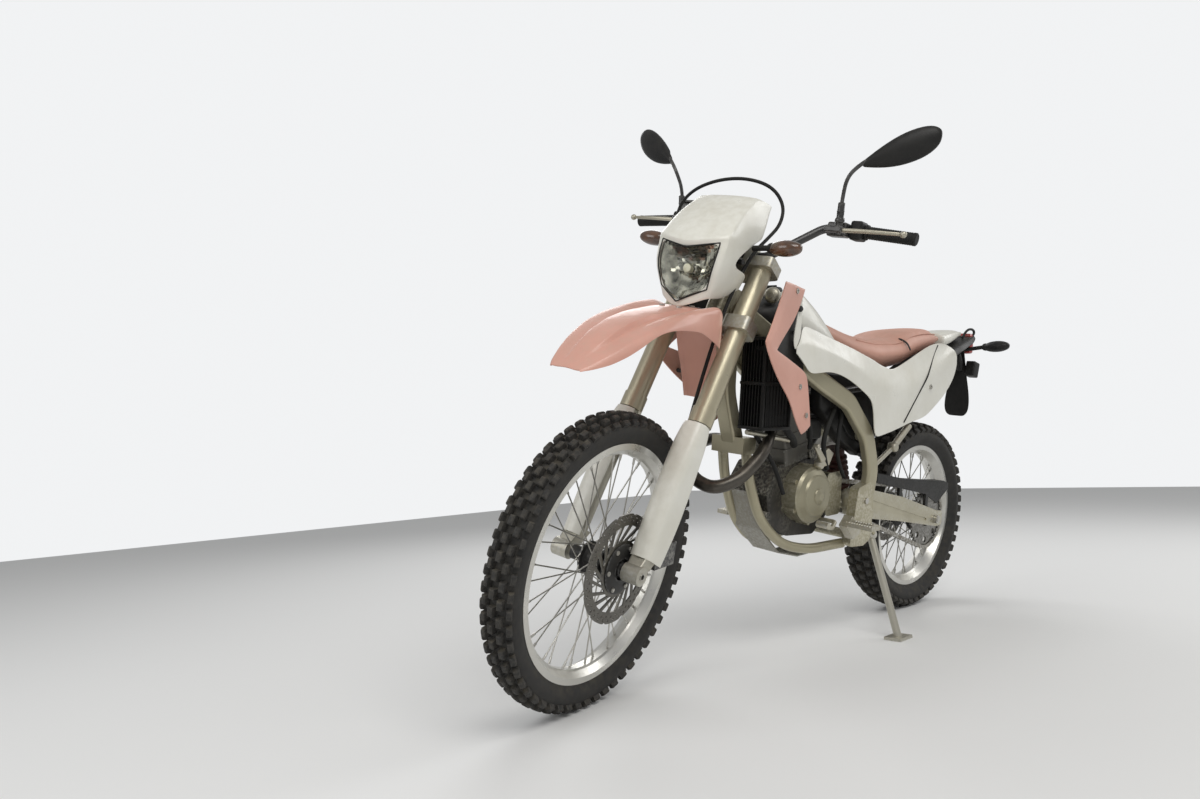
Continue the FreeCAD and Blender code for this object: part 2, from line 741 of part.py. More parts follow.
LENS_TOP = 1100.0
LENS_LOW = 972.0
lens_outline = [
    # y, z
    (-70, LENS_TOP),
    (70, LENS_TOP),
    (62, 1040),
    (30, 984),
    (12, LENS_LOW),
    (-12, LENS_LOW),
    (-30, 984),
    (-62, 1040),
]


def lens_prism(grow, x_low, x_high):
    points = [V(x_low, y + math.copysign(grow, y), z + math.copysign(grow, z - 1040)) for y, z in lens_outline]
    return Part.Face(rounded(points, 8)).extrude(V(x_high - x_low, 0, 0))


cowl = cowl_shell().cut(lens_prism(0.3, 1230, 1290))
notch = Part.Face(rounded([V(x, -150, z) for x, z in ((1040, 1130), (1118, 1106), (1104, 1052), (1040, 1040))], 16)).extrude(V(0, 300, 0))
cowl = cowl.cut(notch)
add("headlight_cowl", cowl, "steering")

lens_rows = [(z, [(x - 1.5, -y) for x, y in reversed(half[:2])] + [(x - 1.5, y) for x, y in half[1:2]]) for z, half in cowl_rows[:4]]
lens_skin = sheet([(z, line[::-1]) for z, line in lens_rows], at_z, 3.0)
lens = lens_skin.common(lens_prism(0, 1200, 1290))
add("headlight_lens", lens, "steering")
bowl_face = lens_prism(-2, 1180, 1234)
bowl = bowl_face.cut(lens_prism(-8, 1190, 1240))
bulb = turned(V(1188, 0, 1045), X_AXIS, [(0, 14), (16, 14), (34, 9), (36, 4)])
add("headlight_bowl", fuse([bowl, bulb]), "steering")
shell_box = loft(
    [
        rounded([V(1179.7, y, z) for y, z in ((-66, 985), (66, 985), (70, 1100), (-70, 1100))], 14),
        rounded([V(1140, y, z) for y, z in ((-40, 1010), (40, 1010), (46, 1090), (-46, 1090))], 12),
    ]
)
dash = block((1046, -62, 1150), (1078, 62, 1226))
neck = block((1032, -24, 1060), (1150, 24, 1088))
cowl_stay = rod(V(1142, -96.5, 1075), V(1142, 96.5, 1075), 7)
riser = block((1050, -22, 1070), (1074, 22, 1160))
panel = fuse([dash, shell_box, neck, riser, cowl_stay]).cut(nodes["triple_clamps"]).cut(cowl)
add("instrument_panel", panel, "steering")


def front_signal():
    stalk = rod(V(1110, 92, 1112), V(1114, 150, 1116), 7)
    way = V(4, 70, 4)
    rows = [(0.0, 8, 8), (0.15, 20, 17), (0.6, 27, 22), (0.92, 20, 16), (1.0, 9, 8)]
    wires = []
    for share, deep, high in rows:
        centre = V(1114, 144, 1115) + way * share * 1.2
        ring = [(1, 0.4), (0.4, 1), (-0.4, 1), (-1, 0.4), (-1, -0.4), (-0.4, -1), (0.4, -1), (1, -0.4)]
        wires.append(polygon([centre + V(deep * a, 0, high * b) for a, b in ring]))
    return fuse([stalk, loft(wires)])


signal = front_signal().cut(cowl)
add("front_signals", pair(signal), "steering")

# Front mudguard rows: station, middle height, shoulder and edge on one side
fender_rows = [
    # x, z middle, (y, z) shoulder, (y, z) edge
    (1728, 799, (30, 799), (44, 794)),
    (1700, 813, (44, 812), (58, 803)),
    (1640, 842, (56, 839), (78, 814)),
    (1560, 872, (62, 868), (95, 845)),
    (1440, 908, (62, 905), (104, 876)),
    (1313, 940, (68, 940), (105, 868)),
    (1215, 955, (74, 957), (101, 858)),
    (1186, 944, (66, 944), (92, 862)),
    (1171, 923.4, (54, 923.4), (62, 902)),
    (1112, 892.6, (54, 892.6), (60, 874)),
]
fender_lines = []
for x, middle, shoulder, edge in fender_rows:
    half = [shoulder, edge]
    line = [(-y, z) for y, z in reversed(half)] + [(0, middle)] + half
    fender_lines.append((x, line))
fender = sheet(fender_lines, at_x, SKIN)
add("front_fender", fender, "steering")

# Frame

pipe = stem(Part.makeCylinder(HEAD_PIPE_R, HEAD_PIPE_U[1] - HEAD_PIPE_U[0], V(0, 0, HEAD_PIPE_U[0])))
pipe_bore = stem(Part.makeCylinder(HEAD_PIPE_BORE_R, HEAD_PIPE_U[1] - HEAD_PIPE_U[0], V(0, 0, HEAD_PIPE_U[0])))
gusset = side_plate([(1036, 1016), (990, 1004), (952, 940), (990, 890), (1040, 936)], -26, 26, 8)
down_points = [V(1026, 0, 950), V(1012, 0, 850), V(1012, 0, 740), V(965, 0, 604)]
down_tube = box_tube(down_points, [300, 160], 48, 42, 8)
cross_block = block((936, -54, 578), (988, 54, 622))
steer_space = stem(Part.makeCylinder(63, HEAD_PIPE_U[0] - 0.3 - 985, V(0, 0, 985)))
frame_head = fuse([pipe, gusset, down_tube, cross_block]).cut(pipe_bore).cut(steer_space)
add("frame_head", frame_head)

spar_points = [
    V(1010, 22, 962),
    V(905, 92, 868),
    V(750, 112, 782),
    V(610, SPAR_Y, 722),
    V(500, SPAR_Y, 622),
    V(462, SPAR_Y, 520),
    V(484, SPAR_Y, 420),
    V(520, SPAR_Y, 338),
]
spar = box_tube(spar_points, [60, 180, 110, 110, 110, 120], SPAR_W, SPAR_H, SPAR_ROUND)
pivot_plate = side_plate(
    [(466, 490), (545, 470), (560, 380), (575, 300), (500, 296), (464, 312), (458, 400)],
    SPAR_Y - 14,
    SPAR_Y + 14,
    12,
)
spar = fuse([spar, pivot_plate])
pivot_hole = rod(V(PIVOT_X, 50, PIVOT_Z), V(PIVOT_X, 150, PIVOT_Z), PIVOT_R + RUN_FIT)
spar = spar.cut(pivot_hole).cut(frame_head)

cradle_points = [
    V(960, 40, 600),
    V(941, 42, 505),
    V(890, 46, 392),
    V(800, 58, 318),
    V(700, 76, 296),
    V(560, 100, 304),
]
cradle = tube(cradle_points, soft_bends(cradle_points), CRADLE_R)
cradle = cradle.cut(frame_head).cut(spar)
add("frame_spars", pair(spar))
add("frame_cradles", pair(cradle))

cross_low = rod(V(545, -SPAR_Y + 8, 330), V(545, SPAR_Y - 8, 330), 14)
cross_high = rod(V(500, -SPAR_Y + 8, 622), V(500, SPAR_Y - 8, 622), 16)
cross_tubes = Part.makeCompound([cross_low, cross_high]).cut(nodes["frame_spars"]).cut(nodes["frame_cradles"])
add("frame_cross_tubes", cross_tubes)

rail_points = [V(640, 84, 745), V(420, SUBFRAME_Y, 770), V(160, SUBFRAME_Y, 846), V(-60, 70, 900)]
rail = tube(rail_points, [200, 200], SUBFRAME_R)
strut = tube([V(478, 90, 560), V(180, SUBFRAME_Y, 832)], [], 9)
rail_side = fuse([rail, strut])
rail_side = rail_side.cut(spar)
subframe_cross = rod(V(-40, -75, 895), V(-40, 75, 895), 9)
subframe_cross2 = rod(V(300, -SUBFRAME_Y, 803), V(300, SUBFRAME_Y, 803), 9)
subframe = fuse([rail_side, mirrored(rail_side), subframe_cross, subframe_cross2])
add("subframe", subframe)

# Rear end

arm_outline = [
    # x, z, corner radius
    (545, 462, 30),
    (450, 458, 40),
    (230, 416, 60),
    (-10, 350, 20),
    (-50, 346, 8),
    (-50, 298, 8),
    (-10, 296, 20),
    (240, 338, 60),
    (440, 366, 40),
    (545, 384, 30),
]
arm = side_plate(arm_outline, *ARM_Y)
groove = side_plate([(430, 424, 6), (60, 330, 6), (60, 322, 6), (430, 398, 6)], ARM_Y[1] - 3, ARM_Y[1] + 1)
arm = arm.cut(groove)
bridge = side_plate([(450, 436), (385, 424), (385, 376), (450, 384)], -ARM_Y[0] - 1, ARM_Y[0] + 1, 8)
barrel = rod(V(PIVOT_X, -ARM_Y[0] - 1, PIVOT_Z), V(PIVOT_X, ARM_Y[0] + 1, PIVOT_Z), 19)
swingarm = fuse([arm, mirrored(arm), bridge, barrel])
swingarm = swingarm.cut(rod(V(PIVOT_X, -150, PIVOT_Z), V(PIVOT_X, 150, PIVOT_Z), PIVOT_R + RUN_FIT))
swingarm = swingarm.cut(rod(V(0, -150, REAR_R), V(0, 150, REAR_R), AXLE_R + RUN_FIT))
add("swingarm", swingarm)
PIVOT_END = SPAR_Y + 18
pivot_bolt = rod(V(PIVOT_X, -PIVOT_END, PIVOT_Z), V(PIVOT_X, PIVOT_END, PIVOT_Z), PIVOT_R)
REAR_AXLE_END = ARM_Y[1] + 14
rear_axle_bar = rod(V(0, -REAR_AXLE_END, REAR_R), V(0, REAR_AXLE_END, REAR_R), AXLE_R)
rear_nut = rod(V(0, ARM_Y[1], REAR_R), V(0, ARM_Y[1] + 12, REAR_R), 14)
rear_axle_bolt = fuse([rear_axle_bar, rear_nut, mirrored(rear_nut)])
add("rear_bolts", Part.makeCompound([pivot_bolt, rear_axle_bolt]))

FRONT_SPROCKET = V(592, 0, 452)


def chain_line(offset, count):
    """Points round both sprockets, a set height outside the pitch line, count of them in all."""
    gap = FRONT_SPROCKET - rear_axle
    tilt = math.degrees(math.atan2(gap.z, gap.x))
    open_angle = math.degrees(math.acos((REAR_SPROCKET_R - FRONT_SPROCKET_R) / gap.Length))
    straight = math.sqrt(gap.Length**2 - (REAR_SPROCKET_R - FRONT_SPROCKET_R) ** 2)
    front_arc = math.radians(2 * open_angle) * FRONT_SPROCKET_R
    rear_arc = math.radians(360 - 2 * open_angle) * REAR_SPROCKET_R
    total = 2 * straight + front_arc + rear_arc
    points = []
    for i in range(count):
        s = total / count * i
        out = offset[i % len(offset)]
        angle = tilt + open_angle
        centre = rear_axle
        radius = REAR_SPROCKET_R
        ahead = s
        if straight <= s < straight + front_arc:
            angle -= math.degrees((s - straight) / FRONT_SPROCKET_R)
            centre = FRONT_SPROCKET
            radius = FRONT_SPROCKET_R
            ahead = 0
        elif straight + front_arc <= s < 2 * straight + front_arc:
            angle = tilt - open_angle
            centre = FRONT_SPROCKET
            radius = FRONT_SPROCKET_R
            ahead = s - straight - front_arc
        elif s >= 2 * straight + front_arc:
            angle = tilt - open_angle - math.degrees((s - 2 * straight - front_arc) / REAR_SPROCKET_R)
            ahead = 0
        points.append(spot(centre, radius + out, angle, 0) + spot(V(0, 0, 0), ahead, angle - 90, 0))
    return points


def chain_loop(half, waist, y_low, y_high):
    """Loop of links between two offsets: each link is full at its ends and narrower at its waist."""
    outside = polygon(chain_line((half, half, waist), 3 * CHAIN_LINKS))
    inside = polygon(chain_line((-waist,), 2 * CHAIN_LINKS))
    band = Part.Face(outside).cut(Part.Face(inside))
    band.translate(V(0, y_low, 0))
    return band.extrude(V(0, y_high - y_low, 0))


chain = chain_loop(CHAIN_HALF_H, CHAIN_WAIST, CHAIN_Y - CHAIN_HALF_W, CHAIN_Y + CHAIN_HALF_W)
teeth_y = CHAIN_HALF_W - CHAIN_PLATE
teeth_space = rod(V(0, CHAIN_Y - teeth_y, REAR_R), V(0, CHAIN_Y + teeth_y, REAR_R), REAR_SPROCKET_R + 14)
add("drive_chain", chain.cut(teeth_space))

shock_low = V(430, 0, 428)
shock_top = V(486, 0, 604)
shock_way = shock_top - shock_low
coils = []
for i in range(6):
    coils += [(20 + i * 18, 27), (25 + i * 18, 36), (31 + i * 18, 36), (36 + i * 18, 27)]
shock = turned(shock_low, shock_way, [(0, 14), (19, 14)] + coils + [(132, 30), (150, 30)])
shock = shock.cut(nodes["frame_cross_tubes"]).cut(swingarm)
add("shock", shock)

# Engine


def bosses(centre, circle, radius, angles, y_low, y_high):
    """Round bosses for cover bolts, at set angles on a circle."""
    return [rod(spot(centre, circle, a, y_low), spot(centre, circle, a, y_high), radius) for a in angles]


case_outline = [
    # x, z, corner radius
    (575, 380, 20),
    (560, 470, 20),
    (600, 540, 20),
    (690, 552, 10),
    (820, 540, 20),
    (872, 470, 30),
    (850, 376, 30),
    (770, 338, 20),
    (640, 330, 20),
]
crankcase = side_plate(case_outline, -92, 50)
cover_outline = [
    # x, z, corner radius
    (600, 400, 20),
    (600, 500, 20),
    (700, 520, 20),
    (840, 480, 30),
    (830, 380, 30),
    (720, 335, 30),
    (630, 345, 20),
]
CLUTCH = V(672, 0, 430)
CLUTCH_R = 62.0
clutch_cap = [(0, CLUTCH_R), (9, CLUTCH_R), (13, CLUTCH_R - 5), (13, 46), (10, 43), (10, 0)]
cover_right = fuse(
    [side_plate(cover_outline, -120, -92), turned(V(CLUTCH.x, -119, CLUTCH.z), -Y_AXIS, clutch_cap)]
    + bosses(CLUTCH, CLUTCH_R, 6, range(20, 380, 60), -131, -119)
)
front_lug = rod(V(864, -54, 398), V(864, 54, 398), 17)
output_shaft = rod(FRONT_SPROCKET + V(0, 49, 0), FRONT_SPROCKET + V(0, CHAIN_Y + 4, 0), 22)
output_sprocket = rod(FRONT_SPROCKET + V(0, CHAIN_Y - 4, 0), FRONT_SPROCKET + V(0, CHAIN_Y + 4, 0), FRONT_SPROCKET_R - CHAIN_WAIST - 1.2)
starter = rod(V(640, -46, 568), V(640, 40, 568), 25)
crankcase = fuse([crankcase, front_lug, output_shaft, output_sprocket, starter])
crankcase = crankcase.cut(nodes["frame_cradles"])
add("crankcase", crankcase)
GENERATOR = V(722, 0, 458)
generator = turned(
    V(GENERATOR.x, 50, GENERATOR.z),
    Y_AXIS,
    [(0, 80), (46, 80), (54, 74), (60, 60), (66, 56), (70, 24), (74, 22), (78, 10)],
)
generator = fuse([generator] + bosses(GENERATOR, 80, 7, range(30, 390, 60), 50, 90))
sprocket_outline = [
    # x, z, corner radius
    (556, 516, 14),
    (628, 512, 14),
    (636, 480, 8),
    (636, 425, 8),
    (628, 386, 14),
    (556, 388, 14),
]
sprocket_cover = fuse(
    [
        side_plate(sprocket_outline, CHAIN_Y + 9, CHAIN_Y + 12),
        rod(V(606, 50, 508), V(606, CHAIN_Y + 10, 508), 5),
        rod(V(606, 50, 396), V(606, CHAIN_Y + 10, 396), 5),
    ]
)
add("engine_covers", Part.makeCompound([generator, cover_right, sprocket_cover]))
cylinder_base = V(742, 0, 548)
cylinder_top = V(768, 0, 678)
cyl_way = cylinder_top - cylinder_base


def barrel_block(low, high, deep, wide):
    wires = []
    for share in (low, high):
        centre = cylinder_base + cyl_way * share
        side = cyl_way.cross(Y_AXIS).normalize()
        corners = [(1, 1), (-1, 1), (-1, -1), (1, -1)]
        wires.append(rounded([centre + side * (deep * a) + V(0, wide * b, 0) for a, b in corners], 10))
    return loft(wires)


barrel_levels = [
    # low and high share of the height, half depth, half width
    (0.00, 1.00, 54, 56),
    (0.30, 0.36, 57, 59),
    (0.60, 0.66, 57, 59),
    (0.99, 1.55, 60, 62),
    (1.10, 1.15, 62, 64),
    (1.30, 1.35, 62, 64),
    (1.54, 1.62, 56, 60),
    (1.54, 1.80, 52, 56),
]
head_top = cylinder_base + cyl_way * 1.78
head_side = cyl_way.cross(Y_AXIS).normalize()
bolt_spots = [head_top + head_side * a + V(0, y, 0) for a in (-34, 34) for y in (-38, 38)]
cap_bolts = [rod(at, at + cyl_way * 0.06, 7) for at in bolt_spots]
cylinder = fuse([barrel_block(*level) for level in barrel_levels] + cap_bolts).cut(crankcase)
add("cylinder", cylinder)

airbox_outline = [
    # x, z, corner radius
    (600, 660, 20),
    (600, 740, 20),
    (430, 745, 20),
    (240, 790, 30),
    (250, 730, 30),
    (400, 700, 30),
    (520, 655, 20),
]
airbox = side_plate(airbox_outline, -66, 66)
throttle = rod(V(590, 0, 700), V(720, 0, 706), 26)
add("airbox", fuse([airbox, throttle]).cut(cylinder))

radiator = side_plate([(1000, 880, 12), (900, 824, 12), (880, 690, 12), (955, 680, 12)], 76, 112)
for y in range(80, 108, 5):
    radiator = radiator.cut(side_plate([(1004, 858), (986, 852), (950, 704), (964, 702)], y, y + 3))
radiator = fuse([radiator, rod(V(906, 92, 800), V(906, 92, 880), 7)]).cut(spar)
add("radiator", radiator)

skid_points = [(925, 470), (876, 362), (792, 290), (700, 268), (600, 272)]
skid_line = skid_points + offset_line(skid_points, 4)[::-1]
skid = Part.Face(polygon([V(x, -44, z) for x, z in skid_line])).extrude(V(0, 88, 0))
for x in (650, 740):
    skid = skid.cut(rod(V(x, 0, 240), V(x, 0, 320), 11))
skid = skid.cut(cradle).cut(mirrored(cradle))
add("skid_plate", skid)

header_points = [
    V(836, 34, 668),
    V(892, 66, 636),
    V(956, 92, 580),
    V(1028, 80, 520),
    V(1080, 40, 492),
    V(1092, -20, 510),
    V(1060, -78, 552),
    V(990, -112, 590),
    V(860, -146, 600),
    V(700, -156, 560),
    V(520, -158, 540),
    V(380, -160, 566),
]
header = tube(header_points, soft_bends(header_points), 17.5)
header = header.cut(cylinder)
add("exhaust_header", header)

MUFFLER_FRONT = V(378, -162, 566)
MUFFLER_REAR = V(-170, -168, 742)
OUTLET_R = 20.0
muffler_rows = [
    # share of the length, half height, half width
    (0.00, 20, 20),
    (0.12, 44, 38),
    (0.25, 58, 46),
    (0.93, 62, 48),
    (1.00, 48, 38),
]


def muffler():
    way = MUFFLER_REAR - MUFFLER_FRONT
    up = way.cross(Y_AXIS).normalize()
    if up.z < 0:
        up = up * -1
    wires = []
    for share, high, wide in muffler_rows:
        centre = MUFFLER_FRONT + way * share
        corners = [(1, 0.45), (0.45, 1), (-0.45, 1), (-1, 0.45), (-1, -0.45), (-0.45, -1), (0.45, -1), (1, -0.45)]
        wires.append(polygon([centre + V(0, wide * a, 0) + up * (high * b) for a, b in corners]))
    body = loft(wires)
    side = way.normalize()
    outlet = rod(MUFFLER_REAR - side * 30, MUFFLER_REAR + side * 12, OUTLET_R)
    bore = rod(MUFFLER_REAR - side * 60, MUFFLER_REAR + side * 14, OUTLET_R - 3)
    return fuse([body, outlet]).cut(bore)


add("muffler", muffler().cut(header))

# Tank, seat and bodywork


def hull_rows(rows):
    """Closed body from stations: x, low z, high z, half width at the bottom, middle and top."""
    wires = []
    for x, low, high, w_low, w_mid, w_top in rows:
        mid = low + (high - low) * 0.55
        corners = [(w_low, low), (w_mid, mid), (w_top, high), (-w_top, high), (-w_mid, mid), (-w_low, low)]
        wires.append(rounded([V(x, y, z) for y, z in corners], [6, 12, 14, 14, 12, 6]))
    return loft(wires)


tank_rows = [
    # x, low, high, half widths
    (618, 800, 905, 60, 78, 52),
    (720, 800, 952, 66, 92, 66),
    (820, 820, 996, 70, 92, 72),
    (880, 880, 1004, 62, 82, 62),
    (926, 905, 978, 44, 60, 40),
    (962, 925, 966, 30, 44, 28),
]
tank = hull_rows(tank_rows)
tank = tank.cut(frame_head).cut(spar).cut(mirrored(spar))
cap = turned(V(850, 0, 990), Z_AXIS, [(0, 38), (38, 38), (44, 30)])
tank = fuse([tank, cap])
add("fuel_tank", tank)

seat_rows = [
    # x, low, high, half widths
    (-28, 925, 950, 62, 70, 56),
    (60, 905, 962, 84, 98, 78),
    (200, 868, 948, 92, 118, 92),
    (268, 850, 934, 94, 124, 96),
    (300, 845, 910, 96, 126, 96),
    (440, 822, 906, 96, 126, 88),
    (560, 836, 926, 84, 108, 72),
    (640, 880, 962, 66, 84, 54),
    (720, 952.5, 1000, 50, 56, 34),
]
seat = hull_rows(seat_rows).cut(tank)
seat = seat.cut(nodes["subframe"])
add("seat", seat)

panel_rows = [
    # x, then (y, z) from the top edge to the bottom edge
    (-80, [(92, 925), (104, 900), (106, 850)]),
    (40, [(110, 900), (126, 860), (120, 790)]),
    (200, [(126, 860), (142, 800), (134, 710)]),
    (331, [(134, 830), (152, 760), (146, 640)]),
    (440, [(134, 830), (154, 760), (150, 620)]),
    (530, [(136, 850), (152, 780), (150, 600)]),
    (640, [(128, 880), (148, 830), (148, 740)]),
    (741, [(118, 910), (146, 860), (146, 780)]),
    (845, [(112, 940), (150, 880), (152, 790)]),
]
panel_outline = [
    # x, z, corner radius
    (838, 927, 6),
    (843, 802, 8),
    (741, 806, 60),
    (540, 738, 20),
    (516, 720, 10),
    (511, 616, 8),
    (331, 655, 40),
    (120, 765, 80),
    (-70, 862, 20),
    (-78, 905, 20),
    (-52, 917, 8),
    (200, 852, 150),
    (320, 818, 60),
    (424, 816, 80),
    (600, 870, 150),
]
panel_sheet = sheet(panel_rows, at_x, SKIN)
panel_skin = panel_sheet.common(side_plate(panel_outline, 0, 260))
panel_bosses = [
    # x, z, where the boss starts, where it meets the skin
    (215, 836, SUBFRAME_Y, 132),
    (650, 862, 60, 143),
]
bosses = [rod(V(x, y0, z), V(x, y1, z), 8) for x, z, y0, y1 in panel_bosses]
side_panel = fuse([panel_skin] + bosses).cut(tank).cut(nodes["subframe"]).cut(seat)
add("side_panels", pair(side_panel))

shroud_track = [(800, 152), (915, 160), (1010, 180), (1120, 203)]
shroud_outline = [
    # x, z, corner radius
    (990, 1026, 8),
    (1044, 960, 60),
    (1109, 868, 14),
    (1040, 792, 30),
    (950, 728, 40),
    (893, 668, 20),
    (834, 640, 8),
    (842, 700, 20),
    (866, 800, 14),
    (912, 818, 12),
    (1048, 852, 20),
    (960, 936, 60),
    (892, 1018, 8),
]
track_ring = shroud_track + offset_line(shroud_track, SHROUD_SKIN)[::-1]
shroud_sheet = Part.Face(polygon([V(x, y, 600) for x, y in track_ring])).extrude(V(0, 0, 460))
shroud_skin = shroud_sheet.common(side_plate(shroud_outline, 0, 260))
tank_boss = rod(V(912, 60, 965), V(912, 157, 965), 8)
shroud_right = mirrored(fuse([shroud_skin, tank_boss]).cut(tank))
radiator_boss = rod(V(905, 90, 765), V(905, 157, 765), 8)
shroud_left = fuse([shroud_skin, tank_boss, radiator_boss]).cut(tank).cut(radiator)
shroud_stay = rod(V(1010, -20, 780), V(1010, -177, 790), 6)
shroud_right = fuse([shroud_right, shroud_stay]).cut(frame_head)
add("shrouds", Part.makeCompound([shroud_left, shroud_right]))

tail_rows = [
    # x, low, high, half widths
    (-32, 900, 956, 74, 78, 62),
    (-110, 916, 968, 62, 70, 56),
    (-190, 938, 976, 44, 54, 42),
    (-250, 950, 976, 26, 36, 26),
]
tail = hull_rows(tail_rows).cut(nodes["subframe"]).cut(seat)
tail = tail.cut(side_panel).cut(mirrored(side_panel))
add("tail_cowl", tail)

mudguard_rows = [
    # x, z middle, (y, z) shoulder, (y, z) edge
    (-352, 968, (30, 966), (42, 952)),
    (-300, 958, (46, 954), (62, 936)),
    (-200, 934, (60, 930), (78, 908)),
    (-60, 889, (68, 884), (84, 856)),
    (100, 812, (66, 806), (84, 782)),
]
mud_lines = []
for x, middle, shoulder, edge in mudguard_rows:
    half = [shoulder, edge]
    line = [(-y, z) for y, z in reversed(half)] + [(0, middle)] + half
    mud_lines.append((x, line))
mudguard = sheet(mud_lines[::-1], at_x, SKIN)
mudguard = fuse([mudguard, rod(V(-110, 0, 896), V(-110, 0, 930), 9)])
mudguard = mudguard.cut(nodes["subframe"]).cut(tail).cut(seat)
add("rear_mudguard", mudguard)

plate_bracket = side_plate([(-300, 962), (-320, 860), (-372, 770), (-366, 766), (-290, 790), (-262, 950)], -34, 34, 4)
flap = side_plate([(-272, 850), (-304, 658), (-310, 658), (-300, 850)], -60, 60, 1)
plate_bracket = fuse([plate_bracket, flap]).cut(mudguard)
add("plate_bracket", plate_bracket)
lamp = side_plate([(-316, 972), (-350, 972), (-356, 900), (-318, 892)], -40, 40, 5)
lamp = lamp.cut(plate_bracket).cut(mudguard)
add("tail_light", lamp)


def rear_signal():
    stalk = rod(V(-268, 30, 906), V(-262, 120, 920), 7)
    rows = [(0.0, 9, 9), (0.15, 20, 17), (0.6, 26, 21), (0.92, 20, 16), (1.0, 9, 8)]
    wires = []
    for share, deep, high in rows:
        centre = V(-262, 114, 919) + V(6, 90, 6) * share
        ring = [(1, 0.4), (0.4, 1), (-0.4, 1), (-1, 0.4), (-1, -0.4), (-0.4, -1), (0.4, -1), (1, -0.4)]
        wires.append(polygon([centre + V(deep * a, 0, high * b) for a, b in ring]))
    return fuse([stalk, loft(wires)])


rear_lamp = rear_signal().cut(plate_bracket).cut(mudguard).cut(lamp)
add("rear_signals", pair(rear_lamp))

guard_line = [(380, 500), (200, 470), (40, 455), (-60, 448), (-96, 438)]
guard_ring = guard_line + [(-96, 424), (-60, 432), (40, 440), (200, 458), (380, 492)]
chain_guard = Part.Face(polygon([V(x, 65, z) for x, z in guard_ring])).extrude(V(0, 34, 0))
guard_side = side_plate([(380, 500), (200, 470), (40, 455), (-60, 448), (-100, 420), (-20, 372), (60, 410), (380, 470)], 96, 99, 3)
guard_legs = [block((x, 90, z - 80), (x + 16, 99, z)) for x, z in ((222, 462), (44, 440))]
chain_guard = fuse([chain_guard, guard_side] + guard_legs).cut(swingarm)
add("chain_guard", chain_guard)

# Brakes


def caliper(centre, angle, disc_y, length, width, depth):
    """Caliper block over the edge of a disc."""
    body = Part.makeBox(length, depth, width, V(-length / 2, disc_y - depth / 2, -width / 2))
    body.rotate(V(0, 0, 0), Y_AXIS, -angle)
    body.translate(V(centre.x, 0, centre.z))
    return body


front_caliper_at = stem_frame.multVec(V(axle_v - 92, 0, axle_u + 74))
CALIPER_HALF = 28.0
front_caliper = caliper(front_caliper_at, 0, 80, 84, 2 * CALIPER_HALF, 60)
slot_half = DISC_THICK / 2 + DISC_CLEAR
slot = rod(
    V(WHEELBASE, FRONT_DISC_Y - slot_half, FRONT_R),
    V(WHEELBASE, FRONT_DISC_Y + slot_half, FRONT_R),
    FRONT_DISC_R + DISC_CLEAR,
)
front_caliper = front_caliper.cut(slot)
front_caliper = front_caliper.cut(nodes["fork_legs"]).cut(nodes["fork_guards"])
add("front_caliper", front_caliper, "steering")
rear_caliper = block((70, -100, 350), (150, -50, 410))
rear_slot = rod(
    V(0, REAR_DISC_Y - slot_half, REAR_R),
    V(0, REAR_DISC_Y + slot_half, REAR_R),
    REAR_DISC_R + DISC_CLEAR,
)
rear_caliper = rear_caliper.cut(rear_slot).cut(swingarm)
add("rear_caliper", rear_caliper)

# Foot controls


def footpeg():
    plate = block((590, 150, 372), (636, 236, 386)).cut(block((601, 162, 370), (625, 226, 388)))
    for y in range(158, 232, 8):
        plate = plate.cut(rod(V(588, y, 386), V(638, y, 386), 2.8))
    hanger = side_plate([(560, 350), (612, 400), (640, 372), (600, 330)], SPAR_Y + 14, SPAR_Y + 40, 4)
    return fuse([plate, hanger]).cut(spar).cut(cradle)


peg = footpeg()

shift = fuse(
    [
        tube([V(655, 50, 382), V(655, 132, 382), V(704, 154, 372), V(768, 156, 392)], [10, 30], 6),
        rod(V(766, 148, 391), V(766, 184, 391), 9),
    ]
)
shift = shift.cut(generator)
brake_pedal = fuse(
    [
        tube([V(585, -124, 352), V(660, -150, 338), V(770, -152, 372)], [30], 7),
        block((756, -178, 366), (800, -140, 378)),
    ]
)
brake_pedal = brake_pedal.cut(mirrored(spar)).cut(mirrored(peg))
add("foot_controls", Part.makeCompound([peg, mirrored(peg), shift, brake_pedal]))

pillion_left = tube([V(482, SPAR_Y + 10, 556), V(330, 134, 560), V(214, 116, 626)], [40], 8)
pillion_right = tube([V(482, -SPAR_Y - 10, 492), V(330, -136, 496), V(218, -130, 536)], [40], 8)
pillion = Part.makeCompound([pillion_left.cut(spar), pillion_right.cut(mirrored(spar))])
add("pillion_brackets", pillion)

HOSE_R = 4.5
hose_upper = [
    # over the instruments, from the brake lever to the front of the clamps
    V(957, -226, 1200),
    V(1002, -196, 1222),
    V(1030, -140, 1262),
    V(1012, -78, 1292),
    V(992, -8, 1301),
    V(965, 54, 1286),
    V(950, 88, 1242),
    V(974, 98, 1190),
    V(1022, 94, 1150),
]
hose_lower = [
    # u, v, y down the left fork leg
    (1202, 84, 84),
    (1120, 88, 76),
    (1040, 86, 72),
    (960, 70, 67),
    (880, 48, 62),
    (790, 30, 62),
    (700, 10, 63),
    (625, -10, 65),
    (555, -24, 68),
]
hose_points = hose_upper + [stem_frame.multVec(V(v, y, u)) for u, v, y in hose_lower]
hose_points.append(V(front_caliper_at.x - 29, 78, front_caliper_at.z + 58))
hose_points.append(V(front_caliper_at.x - 12, 84, front_caliper_at.z + CALIPER_HALF - 6))
hose_bends = soft_bends(hose_points)
hose_length = run(hose_points, hose_bends).Length
hose = tube(hose_points, hose_bends, HOSE_R)
hose_share = hose.Volume / (math.pi * HOSE_R**2 * hose_length)
print("hose length", round(hose_length), "volume share", round(hose_share, 3), "radii", [round(r) for r in hose_bends])
add("brake_hose", hose, "steering")
